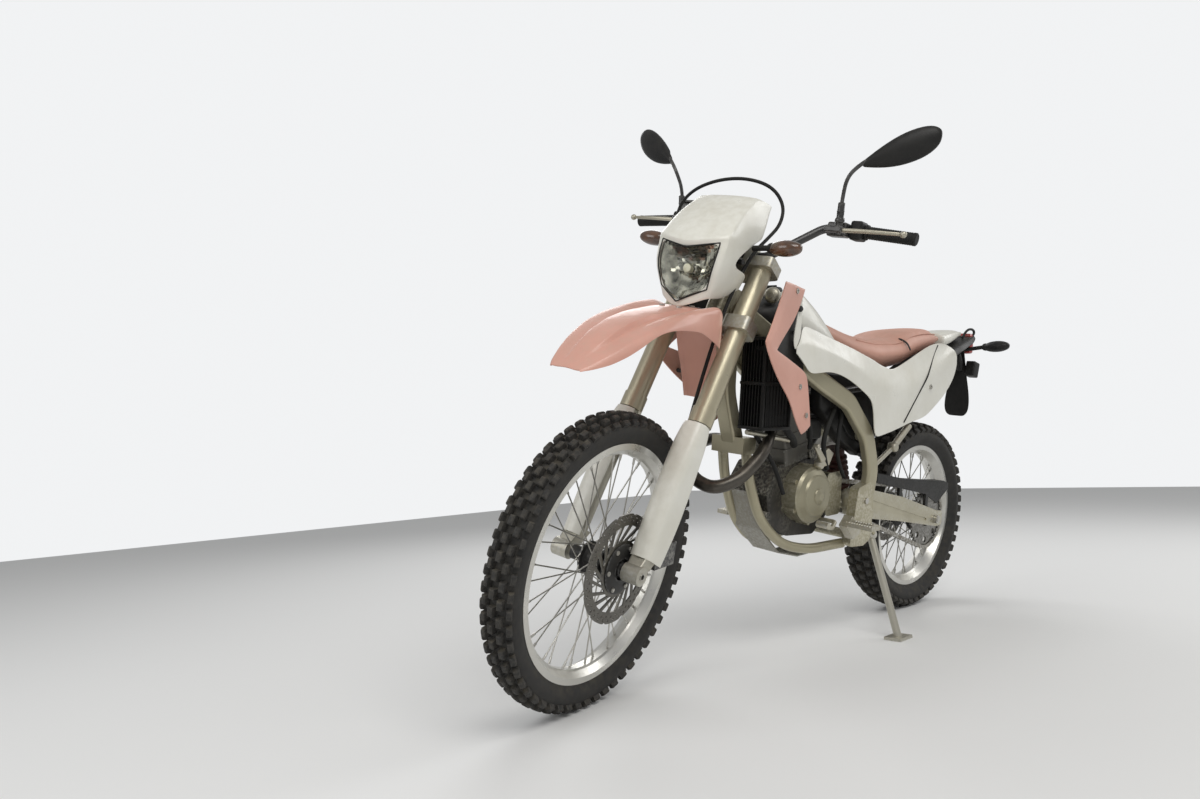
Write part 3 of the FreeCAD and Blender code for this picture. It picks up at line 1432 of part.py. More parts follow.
for seat_of_hose in ("hand_controls", "front_caliper", "triple_clamps", "front_fender"):
    nodes[seat_of_hose] = nodes[seat_of_hose].cut(hose)

# Lean and steering of the parked machine


def lowest(shape):
    points, _ = shape.tessellate(0.2)
    return min(points, key=lambda p: p.z)


steer_turn = FreeCAD.Placement(V(0, 0, 0), FreeCAD.Rotation(stem_dir, PARKED_STEER), stem_ground)
lean_turn = FreeCAD.Placement(V(0, 0, 0), FreeCAD.Rotation(X_AXIS, -PARKED_LEAN))
turned_bodies = ("steering", "front_wheel")


def placed(shape, placement):
    moved = shape.copy()
    moved.Placement = placement.multiply(moved.Placement)
    return moved


def standing():
    """Placement that sets both tyres on the ground once the machine leans."""
    front_low = lowest(placed(nodes["front_tyre"], lean_turn.multiply(steer_turn)))
    rear_low = lowest(placed(nodes["rear_tyre"], lean_turn))
    pitch = math.degrees(math.atan2(front_low.z - rear_low.z, front_low.x - rear_low.x))
    level = FreeCAD.Placement(V(0, 0, 0), FreeCAD.Rotation(Y_AXIS, pitch)).multiply(lean_turn)
    front_low = lowest(placed(nodes["front_tyre"], level.multiply(steer_turn)))
    rear_low = lowest(placed(nodes["rear_tyre"], level))
    drop = FreeCAD.Placement(V(0, 0, -min(front_low.z, rear_low.z)), FreeCAD.Rotation())
    return drop.multiply(level)


parked = standing()

# Side stand: made where the machine stands, so that its foot lies flat on the ground

pivot_at = parked.multVec(STAND_PIVOT)
foot_at = parked.multVec(STAND_FOOT)
foot_at.z = STAND_PAD[2] / 2
stowed_at = parked.multVec(STAND_STOWED)
leg_way = (foot_at - pivot_at).normalize()
stand_axis = (foot_at - pivot_at).cross(stowed_at - pivot_at).normalize()
leg = rod(pivot_at + leg_way * 8, foot_at, STAND_LEG_R)
eye = rod(pivot_at - stand_axis * 12, pivot_at + stand_axis * 12, 17)
pad = block(
    (foot_at.x - STAND_PAD[0], foot_at.y - STAND_PAD[1], 0),
    (foot_at.x + STAND_PAD[0], foot_at.y + STAND_PAD[1], STAND_PAD[2]),
)
leg = leg.cut(block((foot_at.x - 60, foot_at.y - 60, -40), (foot_at.x + 60, foot_at.y + 60, 0)))
stand = fuse([leg, eye, pad])
stand = stand.cut(rod(pivot_at - stand_axis * 30, pivot_at + stand_axis * 30, STAND_PIN_R + RUN_FIT))

finished = {}
for name, shape in nodes.items():
    place = parked.multiply(steer_turn) if body_of[name] in turned_bodies else parked
    finished[name] = placed(shape, place)

pin = rod(pivot_at - stand_axis * 28, pivot_at + stand_axis * 15, STAND_PIN_R)
bracket_plate = rod(pivot_at - stand_axis * 28, pivot_at - stand_axis * 12.3, 20)
strap_end = parked.multVec(V(PIVOT_X + 20, SPAR_Y - 8, 330))
strap = rod(pivot_at - stand_axis * 21, strap_end, 9)
swing_space = rod(pivot_at - stand_axis * 12.3, pivot_at + stand_axis * 60, 40)
bracket = fuse([fuse([bracket_plate, strap]).cut(swing_space), pin])
for name in ("frame_spars", "frame_cradles", "swingarm", "drive_chain", "rear_bolts"):
    bracket = bracket.cut(finished[name])
finished["stand_bracket"] = bracket
body_of["stand_bracket"] = "chassis"
finished["side_stand"] = stand
body_of["side_stand"] = "side_stand"

whole = Part.makeCompound(list(finished.values()))
box = whole.optimalBoundingBox(False, False) if hasattr(whole, "optimalBoundingBox") else whole.BoundBox
to_origin = V(-(box.XMin + box.XMax) / 2, -(box.YMin + box.YMax) / 2, 0)
for shape in finished.values():
    shape.translate(to_origin)

os.makedirs("parts", exist_ok=True)
for name, shape in finished.items():
    shape.exportStep(f"parts/{name}.step")
print("box", round(box.XLength), round(box.YLength), round(box.ZMin, 2), round(box.ZMax))
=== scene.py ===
"""Dual sport motorcycle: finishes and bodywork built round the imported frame."""

import math

import bmesh
import bpy
from mathutils import Euler, Matrix, Vector


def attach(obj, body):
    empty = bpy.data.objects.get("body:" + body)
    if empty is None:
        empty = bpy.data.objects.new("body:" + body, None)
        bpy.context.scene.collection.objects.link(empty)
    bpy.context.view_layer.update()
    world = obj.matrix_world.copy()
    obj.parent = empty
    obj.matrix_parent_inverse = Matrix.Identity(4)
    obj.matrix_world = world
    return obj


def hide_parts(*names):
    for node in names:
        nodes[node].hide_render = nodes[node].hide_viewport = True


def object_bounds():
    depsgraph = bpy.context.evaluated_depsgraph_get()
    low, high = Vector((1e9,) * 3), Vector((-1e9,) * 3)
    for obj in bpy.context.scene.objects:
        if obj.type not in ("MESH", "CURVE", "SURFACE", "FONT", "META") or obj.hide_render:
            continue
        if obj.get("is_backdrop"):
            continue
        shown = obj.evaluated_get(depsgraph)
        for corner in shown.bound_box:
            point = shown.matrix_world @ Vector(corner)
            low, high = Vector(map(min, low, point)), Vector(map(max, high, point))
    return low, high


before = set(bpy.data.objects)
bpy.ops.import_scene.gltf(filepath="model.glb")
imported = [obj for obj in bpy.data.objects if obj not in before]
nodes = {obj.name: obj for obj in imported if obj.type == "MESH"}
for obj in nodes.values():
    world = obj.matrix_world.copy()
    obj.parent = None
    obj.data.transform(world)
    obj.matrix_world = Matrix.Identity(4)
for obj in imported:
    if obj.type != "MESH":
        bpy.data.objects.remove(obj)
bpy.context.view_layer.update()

# The upright machine, in millimetres, is set down where it parks

MM = 0.001
LEAN = math.radians(-9.5)
PITCH = math.radians(0.1712)
PARKED_AT = Vector((-0.710157, -0.226550, 0.003040))
STEM_GROUND = Vector((1558, 0, 0))
CASTER = math.radians(27.6)
PARKED_STEER = math.radians(14.3)
STEM_WAY = Vector((-math.sin(CASTER), 0, math.cos(CASTER)))
MACHINE = (
    Matrix.Translation(PARKED_AT)
    @ Euler((LEAN, PITCH, 0)).to_matrix().to_4x4()
    @ Matrix.Scale(MM, 4)
)
STEERED = (
    MACHINE
    @ Matrix.Translation(STEM_GROUND)
    @ Matrix.Rotation(PARKED_STEER, 4, STEM_WAY)
    @ Matrix.Translation(-STEM_GROUND)
)
# v forward, y left and u up along the steering stem
STEM = Matrix.Translation(STEM_GROUND) @ Matrix.Rotation(-CASTER, 4, "Y")
FRONT_AXLE = Vector((1445, 0, 350))
REAR_AXLE = Vector((0, 0, 322))

# Camera at the photograph's angle, lamps and floor

camera = bpy.data.objects.new("camera", bpy.data.cameras.new("camera"))
bpy.context.scene.collection.objects.link(camera)
camera.location = (1.93228, 1.25755, 0.57586)
camera.rotation_euler = [math.radians(a) for a in (94.1712, 3.2416, 139.0792)]
camera.data.sensor_width = 36
camera.data.lens = 23.851
camera.data.clip_start = 0.02
bpy.context.scene.camera = camera
bpy.context.scene.view_settings.view_transform = "Standard"


def soft_lamp(name, place, aim, size, watts, tint=(1, 1, 1)):
    lamp = bpy.data.objects.new(name, bpy.data.lights.new(name, "AREA"))
    lamp.data.shape = "RECTANGLE"
    lamp.data.size = size[0]
    lamp.data.size_y = size[1]
    lamp.data.energy = watts
    lamp.data.color = tint
    lamp.location = place
    lamp.rotation_euler = (Vector(aim) - Vector(place)).to_track_quat("-Z", "Y").to_euler()
    bpy.context.scene.collection.objects.link(lamp)


soft_lamp("key_lamp", (1.6, 2.6, 3.6), (0.2, -0.1, 0.5), (2.6, 2.0), 70, (1, 0.985, 0.96))
soft_lamp("front_lamp", (3.6, -0.6, 2.2), (0.4, 0, 0.6), (2.0, 2.0), 28)
soft_lamp("far_lamp", (-1.8, -2.8, 3.0), (-0.2, 0, 0.6), (2.6, 1.6), 40)
soft_lamp("rear_lamp", (-3.0, 1.4, 2.2), (-0.3, 0, 0.5), (1.8, 1.6), 25)


def studio_world():
    world = bpy.data.worlds.new("studio")
    world.use_nodes = True
    tree = world.node_tree
    back = tree.nodes["Background"]
    back.inputs["Color"].default_value = (0.93, 0.94, 0.95, 1)
    path = tree.nodes.new("ShaderNodeLightPath")
    seen = tree.nodes.new("ShaderNodeMath")
    seen.operation = "MAXIMUM"
    tree.links.new(path.outputs["Is Camera Ray"], seen.inputs[0])
    tree.links.new(path.outputs["Is Transmission Ray"], seen.inputs[1])
    level = tree.nodes.new("ShaderNodeMapRange")
    level.inputs["To Min"].default_value = 0.42
    level.inputs["To Max"].default_value = 0.95
    tree.links.new(seen.outputs[0], level.inputs["Value"])
    tree.links.new(level.outputs["Result"], back.inputs["Strength"])
    bpy.context.scene.world = world


studio_world()

# Shared effects: each is a group with named inputs and outputs


def effect(name, inputs, outputs):
    """An empty shader group with the named sockets, and its input and output nodes."""
    group = bpy.data.node_groups.new(name, "ShaderNodeTree")
    for label, kind, value in inputs:
        socket = group.interface.new_socket(label, in_out="INPUT", socket_type=kind)
        socket.default_value = value
    for label, kind in outputs:
        group.interface.new_socket(label, in_out="OUTPUT", socket_type=kind)
    return group, group.nodes.new("NodeGroupInput"), group.nodes.new("NodeGroupOutput")


def noise(tree, scale_from, detail=4.0, coords=None):
    """Noise on Object coordinates; its scale comes from a socket or is a number."""
    if coords is None:
        coords = tree.nodes.new("ShaderNodeTexCoord").outputs["Object"]
    node = tree.nodes.new("ShaderNodeTexNoise")
    node.inputs["Detail"].default_value = detail
    tree.links.new(coords, node.inputs["Vector"])
    if isinstance(scale_from, (int, float)):
        node.inputs["Scale"].default_value = scale_from
    else:
        tree.links.new(scale_from, node.inputs["Scale"])
    return node.outputs["Fac"]


def spread(tree, value, low, high, to_low=0.0, to_high=1.0):
    node = tree.nodes.new("ShaderNodeMapRange")
    node.inputs["From Min"].default_value = low
    node.inputs["From Max"].default_value = high
    node.inputs["To Min"].default_value = to_low
    node.inputs["To Max"].default_value = to_high
    tree.links.new(value, node.inputs["Value"])
    return node.outputs["Result"]


def sums(tree, how, a, b):
    node = tree.nodes.new("ShaderNodeMath")
    node.operation = how
    for socket, value in zip(node.inputs, (a, b)):
        if isinstance(value, (int, float)):
            socket.default_value = value
        else:
            tree.links.new(value, socket)
    return node.outputs[0]


def blend_colour(tree, share, a, b):
    node = tree.nodes.new("ShaderNodeMix")
    node.data_type = "RGBA"
    tree.links.new(share, node.inputs["Factor"])
    for label, value in (("A", a), ("B", b)):
        socket = [s for s in node.inputs if s.name == label and s.type == "RGBA"][0]
        if isinstance(value, (tuple, list)):
            socket.default_value = value
        else:
            tree.links.new(value, socket)
    return [s for s in node.outputs if s.type == "RGBA"][0]


def make_weathering_and_reflections():
    """Patches of a second shade (painted reflections on the reflector, random tone on the other finishes),
    road dust on what faces up, and rubbed edges.
    """
    group, given, made = effect(
        "weathering_and_reflections",
        [
            ("Colour", "NodeSocketColor", (0.5, 0.5, 0.5, 1)),
            ("Shade", "NodeSocketColor", (0.4, 0.4, 0.4, 1)),
            ("Patch Scale", "NodeSocketFloat", 9.0),
            ("Patches", "NodeSocketFloat", 0.4),
            ("Dust Colour", "NodeSocketColor", (0.33, 0.29, 0.22, 1)),
            ("Dust", "NodeSocketFloat", 0.2),
            ("Rub Colour", "NodeSocketColor", (0.6, 0.6, 0.6, 1)),
            ("Rub", "NodeSocketFloat", 0.0),
        ],
        [("Colour", "NodeSocketColor"), ("Dirt", "NodeSocketFloat")],
    )
    patches = spread(group, noise(group, given.outputs["Patch Scale"], 5.0), 0.35, 0.7)
    patches = sums(group, "MULTIPLY", patches, given.outputs["Patches"])
    colour = blend_colour(group, patches, given.outputs["Colour"], given.outputs["Shade"])
    geometry = group.nodes.new("ShaderNodeNewGeometry")
    split = group.nodes.new("ShaderNodeSeparateXYZ")
    group.links.new(geometry.outputs["Normal"], split.inputs[0])
    upward = spread(group, split.outputs["Z"], -0.2, 0.9, 0.15, 1.0)
    speckle = spread(group, noise(group, 55.0, 6.0), 0.38, 0.72)
    dust = sums(group, "MULTIPLY", sums(group, "MULTIPLY", upward, speckle), given.outputs["Dust"])
    colour = blend_colour(group, dust, colour, given.outputs["Dust Colour"])
    edges = spread(group, geometry.outputs["Pointiness"], 0.53, 0.62)
    chips = spread(group, noise(group, 140.0, 3.0), 0.42, 0.62)
    rubbed = sums(group, "MULTIPLY", sums(group, "MULTIPLY", edges, chips), given.outputs["Rub"])
    colour = blend_colour(group, rubbed, colour, given.outputs["Rub Colour"])
    group.links.new(colour, made.inputs["Colour"])
    group.links.new(dust, made.inputs["Dirt"])
    return group


def make_grain():
    """Height of a fine moulded or cast grain."""
    group, given, made = effect(
        "moulded_grain",
        [("Scale", "NodeSocketFloat", 900.0)],
        [("Height", "NodeSocketFloat")],
    )
    fine = noise(group, given.outputs["Scale"], 3.0)
    coarse = noise(group, sums(group, "MULTIPLY", given.outputs["Scale"], 0.28), 2.0)
    group.links.new(sums(group, "ADD", fine, coarse), made.inputs["Height"])
    return group


def make_brushing():
    """Height of fine lines drawn along one axis."""
    group, given, made = effect(
        "brushing",
        [("Lines", "NodeSocketVector", (40.0, 900.0, 900.0))],
        [("Height", "NodeSocketFloat")],
    )
    where = group.nodes.new("ShaderNodeTexCoord").outputs["Object"]
    stretch = group.nodes.new("ShaderNodeVectorMath")
    stretch.operation = "MULTIPLY"
    group.links.new(where, stretch.inputs[0])
    group.links.new(given.outputs["Lines"], stretch.inputs[1])
    group.links.new(noise(group, 1.0, 2.0, stretch.outputs[0]), made.inputs["Height"])
    return group


def make_vinyl():
    """Height and shade of a seat cover's small pebbled leather grain."""
    group, given, made = effect(
        "vinyl_grain",
        [("Scale", "NodeSocketFloat", 620.0)],
        [("Height", "NodeSocketFloat"), ("Crease", "NodeSocketFloat")],
    )
    where = group.nodes.new("ShaderNodeTexCoord").outputs["Object"]
    cells = group.nodes.new("ShaderNodeTexVoronoi")
    cells.feature = "SMOOTH_F1"
    group.links.new(where, cells.inputs["Vector"])
    group.links.new(given.outputs["Scale"], cells.inputs["Scale"])
    crease = spread(group, cells.outputs["Distance"], 0.35, 0.75)
    high = sums(group, "SUBTRACT", 1.0, crease)
    group.links.new(high, made.inputs["Height"])
    group.links.new(crease, made.inputs["Crease"])
    return group


WEATHERING_AND_REFLECTIONS = make_weathering_and_reflections()
GRAIN = make_grain()
BRUSHING = make_brushing()
VINYL = make_vinyl()


def use(tree, group, values):
    node = tree.nodes.new("ShaderNodeGroup")
    node.node_tree = group
    for label, value in values.items():
        node.inputs[label].default_value = value
    return node


def full(colour):
    return (colour[0], colour[1], colour[2], 1.0)


def finish(name, colour, shade, rough, metal=0.0, surface="grain", scale=900.0, depth=0.00005, **wear):
    """A material: colour with wear and patches (the reflector's patches are painted reflections), roughness
    that rises with dirt, and a fine surface.
    """
    material = bpy.data.materials.new(name)
    material.use_nodes = True
    tree = material.node_tree
    shader = tree.nodes["Principled BSDF"]
    shader.inputs["Metallic"].default_value = metal
    shader.inputs["Coat Weight"].default_value = wear.get("coat", 0.0)
    shader.inputs["Coat Roughness"].default_value = wear.get("coat_rough", 0.12)
    shader.inputs["Specular IOR Level"].default_value = wear.get("shine", 0.5)
    shader.inputs["Transmission Weight"].default_value = wear.get("clear", 0.0)
    weathered_and_reflected = use(
        tree,
        WEATHERING_AND_REFLECTIONS,
        {
            "Colour": full(colour),
            "Shade": full(shade),
            "Patch Scale": wear.get("patch_scale", 9.0),
            "Patches": wear.get("patches", 0.5),
            "Dust Colour": full(wear.get("dust_colour", (0.34, 0.3, 0.23))),
            "Dust": wear.get("dust", 0.2),
            "Rub Colour": full(wear.get("rub_colour", (0.6, 0.6, 0.58))),
            "Rub": wear.get("rub", 0.0),
        },
    )
    tree.links.new(weathered_and_reflected.outputs["Colour"], shader.inputs["Base Color"])
    dirt = spread(tree, weathered_and_reflected.outputs["Dirt"], 0.0, 0.6, rough, min(rough + 0.35, 0.95))
    smear = spread(tree, noise(tree, 18.0, 5.0), 0.3, 0.7, -0.06, 0.06)
    tree.links.new(sums(tree, "ADD", dirt, smear), shader.inputs["Roughness"])
    if surface == "grain":
        height = use(tree, GRAIN, {"Scale": scale}).outputs["Height"]
    elif surface == "brushed":
        height = use(tree, BRUSHING, {"Lines": wear.get("lines", (40.0, 900.0, 900.0))}).outputs["Height"]
    else:
        height = use(tree, VINYL, {"Scale": scale}).outputs["Height"]
    bump = tree.nodes.new("ShaderNodeBump")
    bump.inputs["Strength"].default_value = wear.get("bump", 0.35)
    bump.inputs["Distance"].default_value = depth
    tree.links.new(height, bump.inputs["Height"])
    tree.links.new(bump.outputs["Normal"], shader.inputs["Normal"])
    return material


KHAKI = (0.42, 0.385, 0.27)
KHAKI_SHADE = (0.33, 0.3, 0.2)
WHITE = (0.8, 0.79, 0.72)
WHITE_SHADE = (0.68, 0.66, 0.57)
PINK = (0.7, 0.37, 0.29)
PINK_SHADE = (0.6, 0.31, 0.24)

finishes = {
    "tyre_rubber": finish(
        "tyre_rubber", (0.016, 0.0155, 0.015), (0.028, 0.026, 0.023), 0.72,
        scale=500, depth=0.0002, dust=0.42, dust_colour=(0.17, 0.145, 0.1), rub=0.3,
        rub_colour=(0.1, 0.09, 0.075),
    ),
    "rim_silver": finish(
        "rim_silver", (0.72, 0.71, 0.67), (0.6, 0.59, 0.54), 0.3, 1.0,
        surface="brushed", lines=(900, 60, 900), depth=0.00003, dust=0.2,
    ),
    "hub_dark": finish(
        "hub_dark", (0.022, 0.022, 0.022), (0.04, 0.038, 0.035), 0.42, 0.2, scale=500, depth=0.0001,
        rub=0.3,
        dust=0.08, shine=0.3,
    ),
    "disc_steel": finish(
        "disc_steel", (0.17, 0.163, 0.148), (0.1, 0.094, 0.085), 0.34, 1.0,
        surface="brushed", lines=(700, 50, 700), depth=0.00004, rub=0.3,
    ),
    "clamp_silver": finish(
        "clamp_silver", (0.5, 0.47, 0.38), (0.4, 0.37, 0.29), 0.42, 0.85, scale=420, depth=0.00012, rub=0.5,
    ),
    "fork_tube": finish(
        "fork_tube", (0.5, 0.455, 0.33), (0.42, 0.38, 0.275), 0.33, 0.6,
        surface="brushed", lines=(900, 900, 30), depth=0.00002, patches=0.3, dust=0.04,
    ),
    "fork_foot": finish(
        "fork_foot", (0.52, 0.5, 0.43), (0.42, 0.4, 0.33), 0.45, 0.8, scale=400, depth=0.00012, rub=0.4,
    ),
    "bolt_steel": finish(
        "bolt_steel", (0.55, 0.54, 0.5), (0.4, 0.38, 0.34), 0.35, 1.0, scale=700, depth=0.00004, rub=0.3,
    ),
    "white_plastic": finish(
        "white_plastic", WHITE, WHITE_SHADE, 0.32, scale=1100, depth=0.00003,
        patches=0.6, dust=0.3, dust_colour=(0.46, 0.42, 0.32), coat=0.25, rub=0.12,
        rub_colour=(0.5, 0.47, 0.4),
    ),
    "pink_plastic": finish(
        "pink_plastic", PINK, PINK_SHADE, 0.36, scale=1100, depth=0.00003,
        patches=0.75, dust=0.22, dust_colour=(0.5, 0.4, 0.31), coat=0.2, rub=0.2,
        rub_colour=(0.78, 0.55, 0.46),
    ),
    "black_plastic": finish(
        "black_plastic", (0.015, 0.015, 0.015), (0.026, 0.025, 0.023), 0.42,
        scale=800, depth=0.00012, dust=0.05, rub=0.2, shine=0.22, rub_colour=(0.12, 0.12, 0.115),
    ),
    "black_paint": finish(
        "black_paint", (0.02, 0.02, 0.021), (0.032, 0.031, 0.03), 0.34,
        scale=900, depth=0.00003, dust=0.12, coat=0.3, rub=0.5, rub_colour=(0.35, 0.34, 0.31),
    ),
    "black_rubber": finish(
        "black_rubber", (0.014, 0.014, 0.014), (0.024, 0.024, 0.022), 0.62, scale=420, depth=0.0002,
        dust=0.08, shine=0.22,
    ),
    # Reflector: chrome dulled to a mid grey and blotched with near-black patches, which are painted dark
    # reflections between the bright facets.
    "reflector": finish(
        "reflector", (0.5, 0.48, 0.43), (0.03, 0.03, 0.028), 0.1, 1.0, scale=60, depth=0.0004,
        patches=1.0, patch_scale=34, dust=0.05, bump=0.4,
    ),
    "red_lens": finish(
        "red_lens", (0.36, 0.02, 0.015), (0.28, 0.02, 0.015), 0.18, scale=260, depth=0.0003, coat=0.5,
    ),
    "frame_paint": finish(
        "frame_paint", KHAKI, KHAKI_SHADE, 0.36, 0.55, scale=700, depth=0.00006,
        dust=0.3, rub=0.7, rub_colour=(0.62, 0.59, 0.48), coat=0.2,
    ),
    "arm_silver": finish(
        "arm_silver", (0.48, 0.45, 0.34), (0.38, 0.35, 0.26), 0.36, 0.8,
        surface="brushed", lines=(40, 700, 700), depth=0.00003, dust=0.3, rub=0.5,
    ),
    "engine_dark": finish(
        "engine_dark", (0.03, 0.029, 0.027), (0.055, 0.05, 0.045), 0.45, 0.35,
        scale=420, depth=0.0003, dust=0.4, rub=0.8, rub_colour=(0.4, 0.38, 0.32),
    ),
    "cover_silver": finish(
        "cover_silver", (0.36, 0.335, 0.24), (0.27, 0.25, 0.18), 0.4, 0.7,
        scale=420, depth=0.0002, dust=0.35, rub=0.7, rub_colour=(0.6, 0.57, 0.47),
    ),
    "engine_cast": finish(
        "engine_cast", (0.14, 0.135, 0.12), (0.09, 0.085, 0.075), 0.5, 0.7,
        scale=380, depth=0.0003, dust=0.4, rub=0.7,
    ),
    "pipe_steel": finish(
        "pipe_steel", (0.1, 0.092, 0.08), (0.06, 0.05, 0.042), 0.34, 0.8,
        surface="brushed", lines=(300, 300, 300), depth=0.00006, dust=0.3, patches=0.9,
    ),
    "muffler_steel": finish(
        "muffler_steel", (0.42, 0.41, 0.38), (0.34, 0.32, 0.29), 0.36, 0.95,
        surface="brushed", lines=(30, 900, 900), depth=0.00003, dust=0.25,
    ),
    "radiator_black": finish(
        "radiator_black", (0.012, 0.012, 0.012), (0.02, 0.019, 0.017), 0.5, 0.1, scale=500,
        depth=0.0001, dust=0.06,
        shine=0.2,
    ),
    "guard_grey": finish(
        "guard_grey", (0.28, 0.265, 0.22), (0.2, 0.19, 0.155), 0.5, scale=600, depth=0.0002,
        dust=0.4, rub=0.4,
    ),
    "tank_black": finish(
        "tank_black", (0.025, 0.025, 0.026), (0.035, 0.034, 0.032), 0.4, scale=800, depth=0.0001, dust=0.15,
    ),
    "seat_pink": finish(
        "seat_pink", (0.62, 0.33, 0.25), (0.5, 0.27, 0.2), 0.52, surface="vinyl", scale=640, depth=0.0004,
        patches=0.8, dust=0.2, dust_colour=(0.42, 0.33, 0.25),
    ),
    "chain_steel": finish(
        "chain_steel", (0.26, 0.24, 0.2), (0.14, 0.12, 0.09), 0.42, 0.9, scale=500, depth=0.0002, rub=0.6,
    ),
    "stand_paint": finish(
        "stand_paint", (0.52, 0.5, 0.43), (0.42, 0.4, 0.33), 0.38, 0.7, scale=600, depth=0.00008,
        dust=0.2, rub=0.6,
    ),
    "spring_paint": finish(
        "spring_paint", (0.05, 0.015, 0.013), (0.04, 0.014, 0.012), 0.5, scale=700, depth=0.00006,
        dust=0.3, shine=0.25,
    ),
    "amber_lens": finish(
        "amber_lens", (0.12, 0.052, 0.024), (0.04, 0.022, 0.014), 0.14, scale=200, depth=0.0004, coat=0.7,
        patches=0.9, patch_scale=40, dust=0.1,
    ),
}


def hazy_finish(name, colour, scale, detail, low, high, settings):
    """A smooth surface whose roughness varies between low and high."""
    material = bpy.data.materials.new(name)
    material.use_nodes = True
    tree = material.node_tree
    shader = tree.nodes["Principled BSDF"]
    shader.inputs["Base Color"].default_value = (*colour, 1)
    for label, value in settings.items():
        shader.inputs[label].default_value = value
    haze = spread(tree, noise(tree, scale, detail), 0.4, 0.75, low, high)
    tree.links.new(haze, shader.inputs["Roughness"])
    return material


clear = {"Transmission Weight": 1.0, "IOR": 1.2}
finishes["lens_clear"] = hazy_finish("lens_clear", (0.93, 0.94, 0.9), 40.0, 6.0, 0.01, 0.09, clear)
silvered = {"Metallic": 1.0}
finishes["mirror_glass"] = hazy_finish("mirror_glass", (0.82, 0.84, 0.85), 30.0, 5.0, 0.02, 0.08, silvered)

for node in nodes.values():
    for index, material in enumerate(node.data.materials):
        slot_name = material.name.split(".")[0]
        if slot_name in finishes:
            node.data.materials[index] = finishes[slot_name]

# Making pieces


def nothing_chosen():
    if bpy.context.object and bpy.context.object.mode != "OBJECT":
        bpy.ops.object.mode_set(mode="OBJECT")
    bpy.ops.object.select_all(action="DESELECT")


def choose(piece):
    nothing_chosen()
    piece.select_set(True)
    bpy.context.view_layer.objects.active = piece


def named(name):
    piece = bpy.context.object
    piece.name = name
    piece.data.name = name
    return piece


def keep_modifiers(piece):
    choose(piece)
    for modifier in list(piece.modifiers):
        bpy.ops.object.modifier_apply(modifier=modifier.name)


def settle(piece, place=Matrix.Identity(4)):
    """Puts a piece's place into its mesh."""
    piece.data.transform(place @ piece.matrix_world)
    piece.matrix_world = Matrix.Identity(4)
    return piece


def wear(piece, slot_name, body, replaced=(), material=None):
    piece.data.materials.clear()
    piece.data.materials.append(finishes[material or slot_name])
    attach(piece, body)
    if replaced:
        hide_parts(*replaced)
    return piece


def dress(piece, place, slot_name, body, replaced=(), material=None):
    """Settles a finished piece in its place, then gives it its finish and its body."""
    settle(piece, place)
    return wear(piece, slot_name, body, replaced, material)


def round_edges(piece, width, segments, degrees):
    """A bevel on the edges that turn by more than an angle."""
    edge = piece.modifiers.new("edge", "BEVEL")
    edge.width = width
    edge.segments = segments
    edge.limit_method = "ANGLE"
    edge.angle_limit = math.radians(degrees)


def grid(name, rows):
    """A grid primitive, each of its rows moved to one section: rows of points in machine mm."""
    nothing_chosen()
    across = len(rows[0])
    bpy.ops.mesh.primitive_grid_add(x_subdivisions=across - 1, y_subdivisions=len(rows) - 1, size=2)
    piece = named(name)
    verts = sorted(piece.data.vertices, key=lambda v: (round(v.co.y, 4), round(v.co.x, 4)))
    for vert, point in zip(verts, [p for row in rows for p in row]):
        vert.co = point
    return piece


def face_outwards(piece, way):
    """Turns an open skin's faces so that they look along way on the whole."""
    lean = sum((p.normal * p.area for p in piece.data.polygons), Vector())
    if lean.dot(Vector(way)) < 0:
        choose(piece)
        bpy.ops.object.mode_set(mode="EDIT")
        bpy.ops.mesh.select_all(action="SELECT")
        bpy.ops.mesh.flip_normals()
        bpy.ops.object.mode_set(mode="OBJECT")


def weld(piece, gap=0.05):
    choose(piece)
    bpy.ops.object.mode_set(mode="EDIT")
    bpy.ops.mesh.select_all(action="SELECT")
    bpy.ops.mesh.remove_doubles(threshold=gap)
    bpy.ops.mesh.normals_make_consistent(inside=False)
    bpy.ops.object.mode_set(mode="OBJECT")


def sharpen(piece, is_sharp, amount=0.8):
    """Creases the edges whose two ends both pass the test."""
    mesh = bmesh.new()
    mesh.from_mesh(piece.data)
    layer = mesh.edges.layers.float.get("crease_edge") or mesh.edges.layers.float.new("crease_edge")
    for edge in mesh.edges:
        if is_sharp(edge):
            edge[layer] = amount
    mesh.to_mesh(piece.data)
    mesh.free()


def smooth(piece, degrees=40):
    choose(piece)
    bpy.ops.object.shade_smooth_by_angle(angle=math.radians(degrees))


def skin(piece, wall=3.0, levels=2, edge=0.8, way=(0, 0, 1)):
    """Gives an open skin its wall, a rolled edge and a smooth surface."""
    face_outwards(piece, way)
    piece.modifiers.new("rounding", "SUBSURF").levels = levels
    piece.modifiers["rounding"].render_levels = levels
    solid = piece.modifiers.new("wall", "SOLIDIFY")
    solid.thickness = wall
    solid.offset = -1
    if edge:
        round_edges(piece, edge, 2, 50)
    keep_modifiers(piece)
    smooth(piece)
    return piece


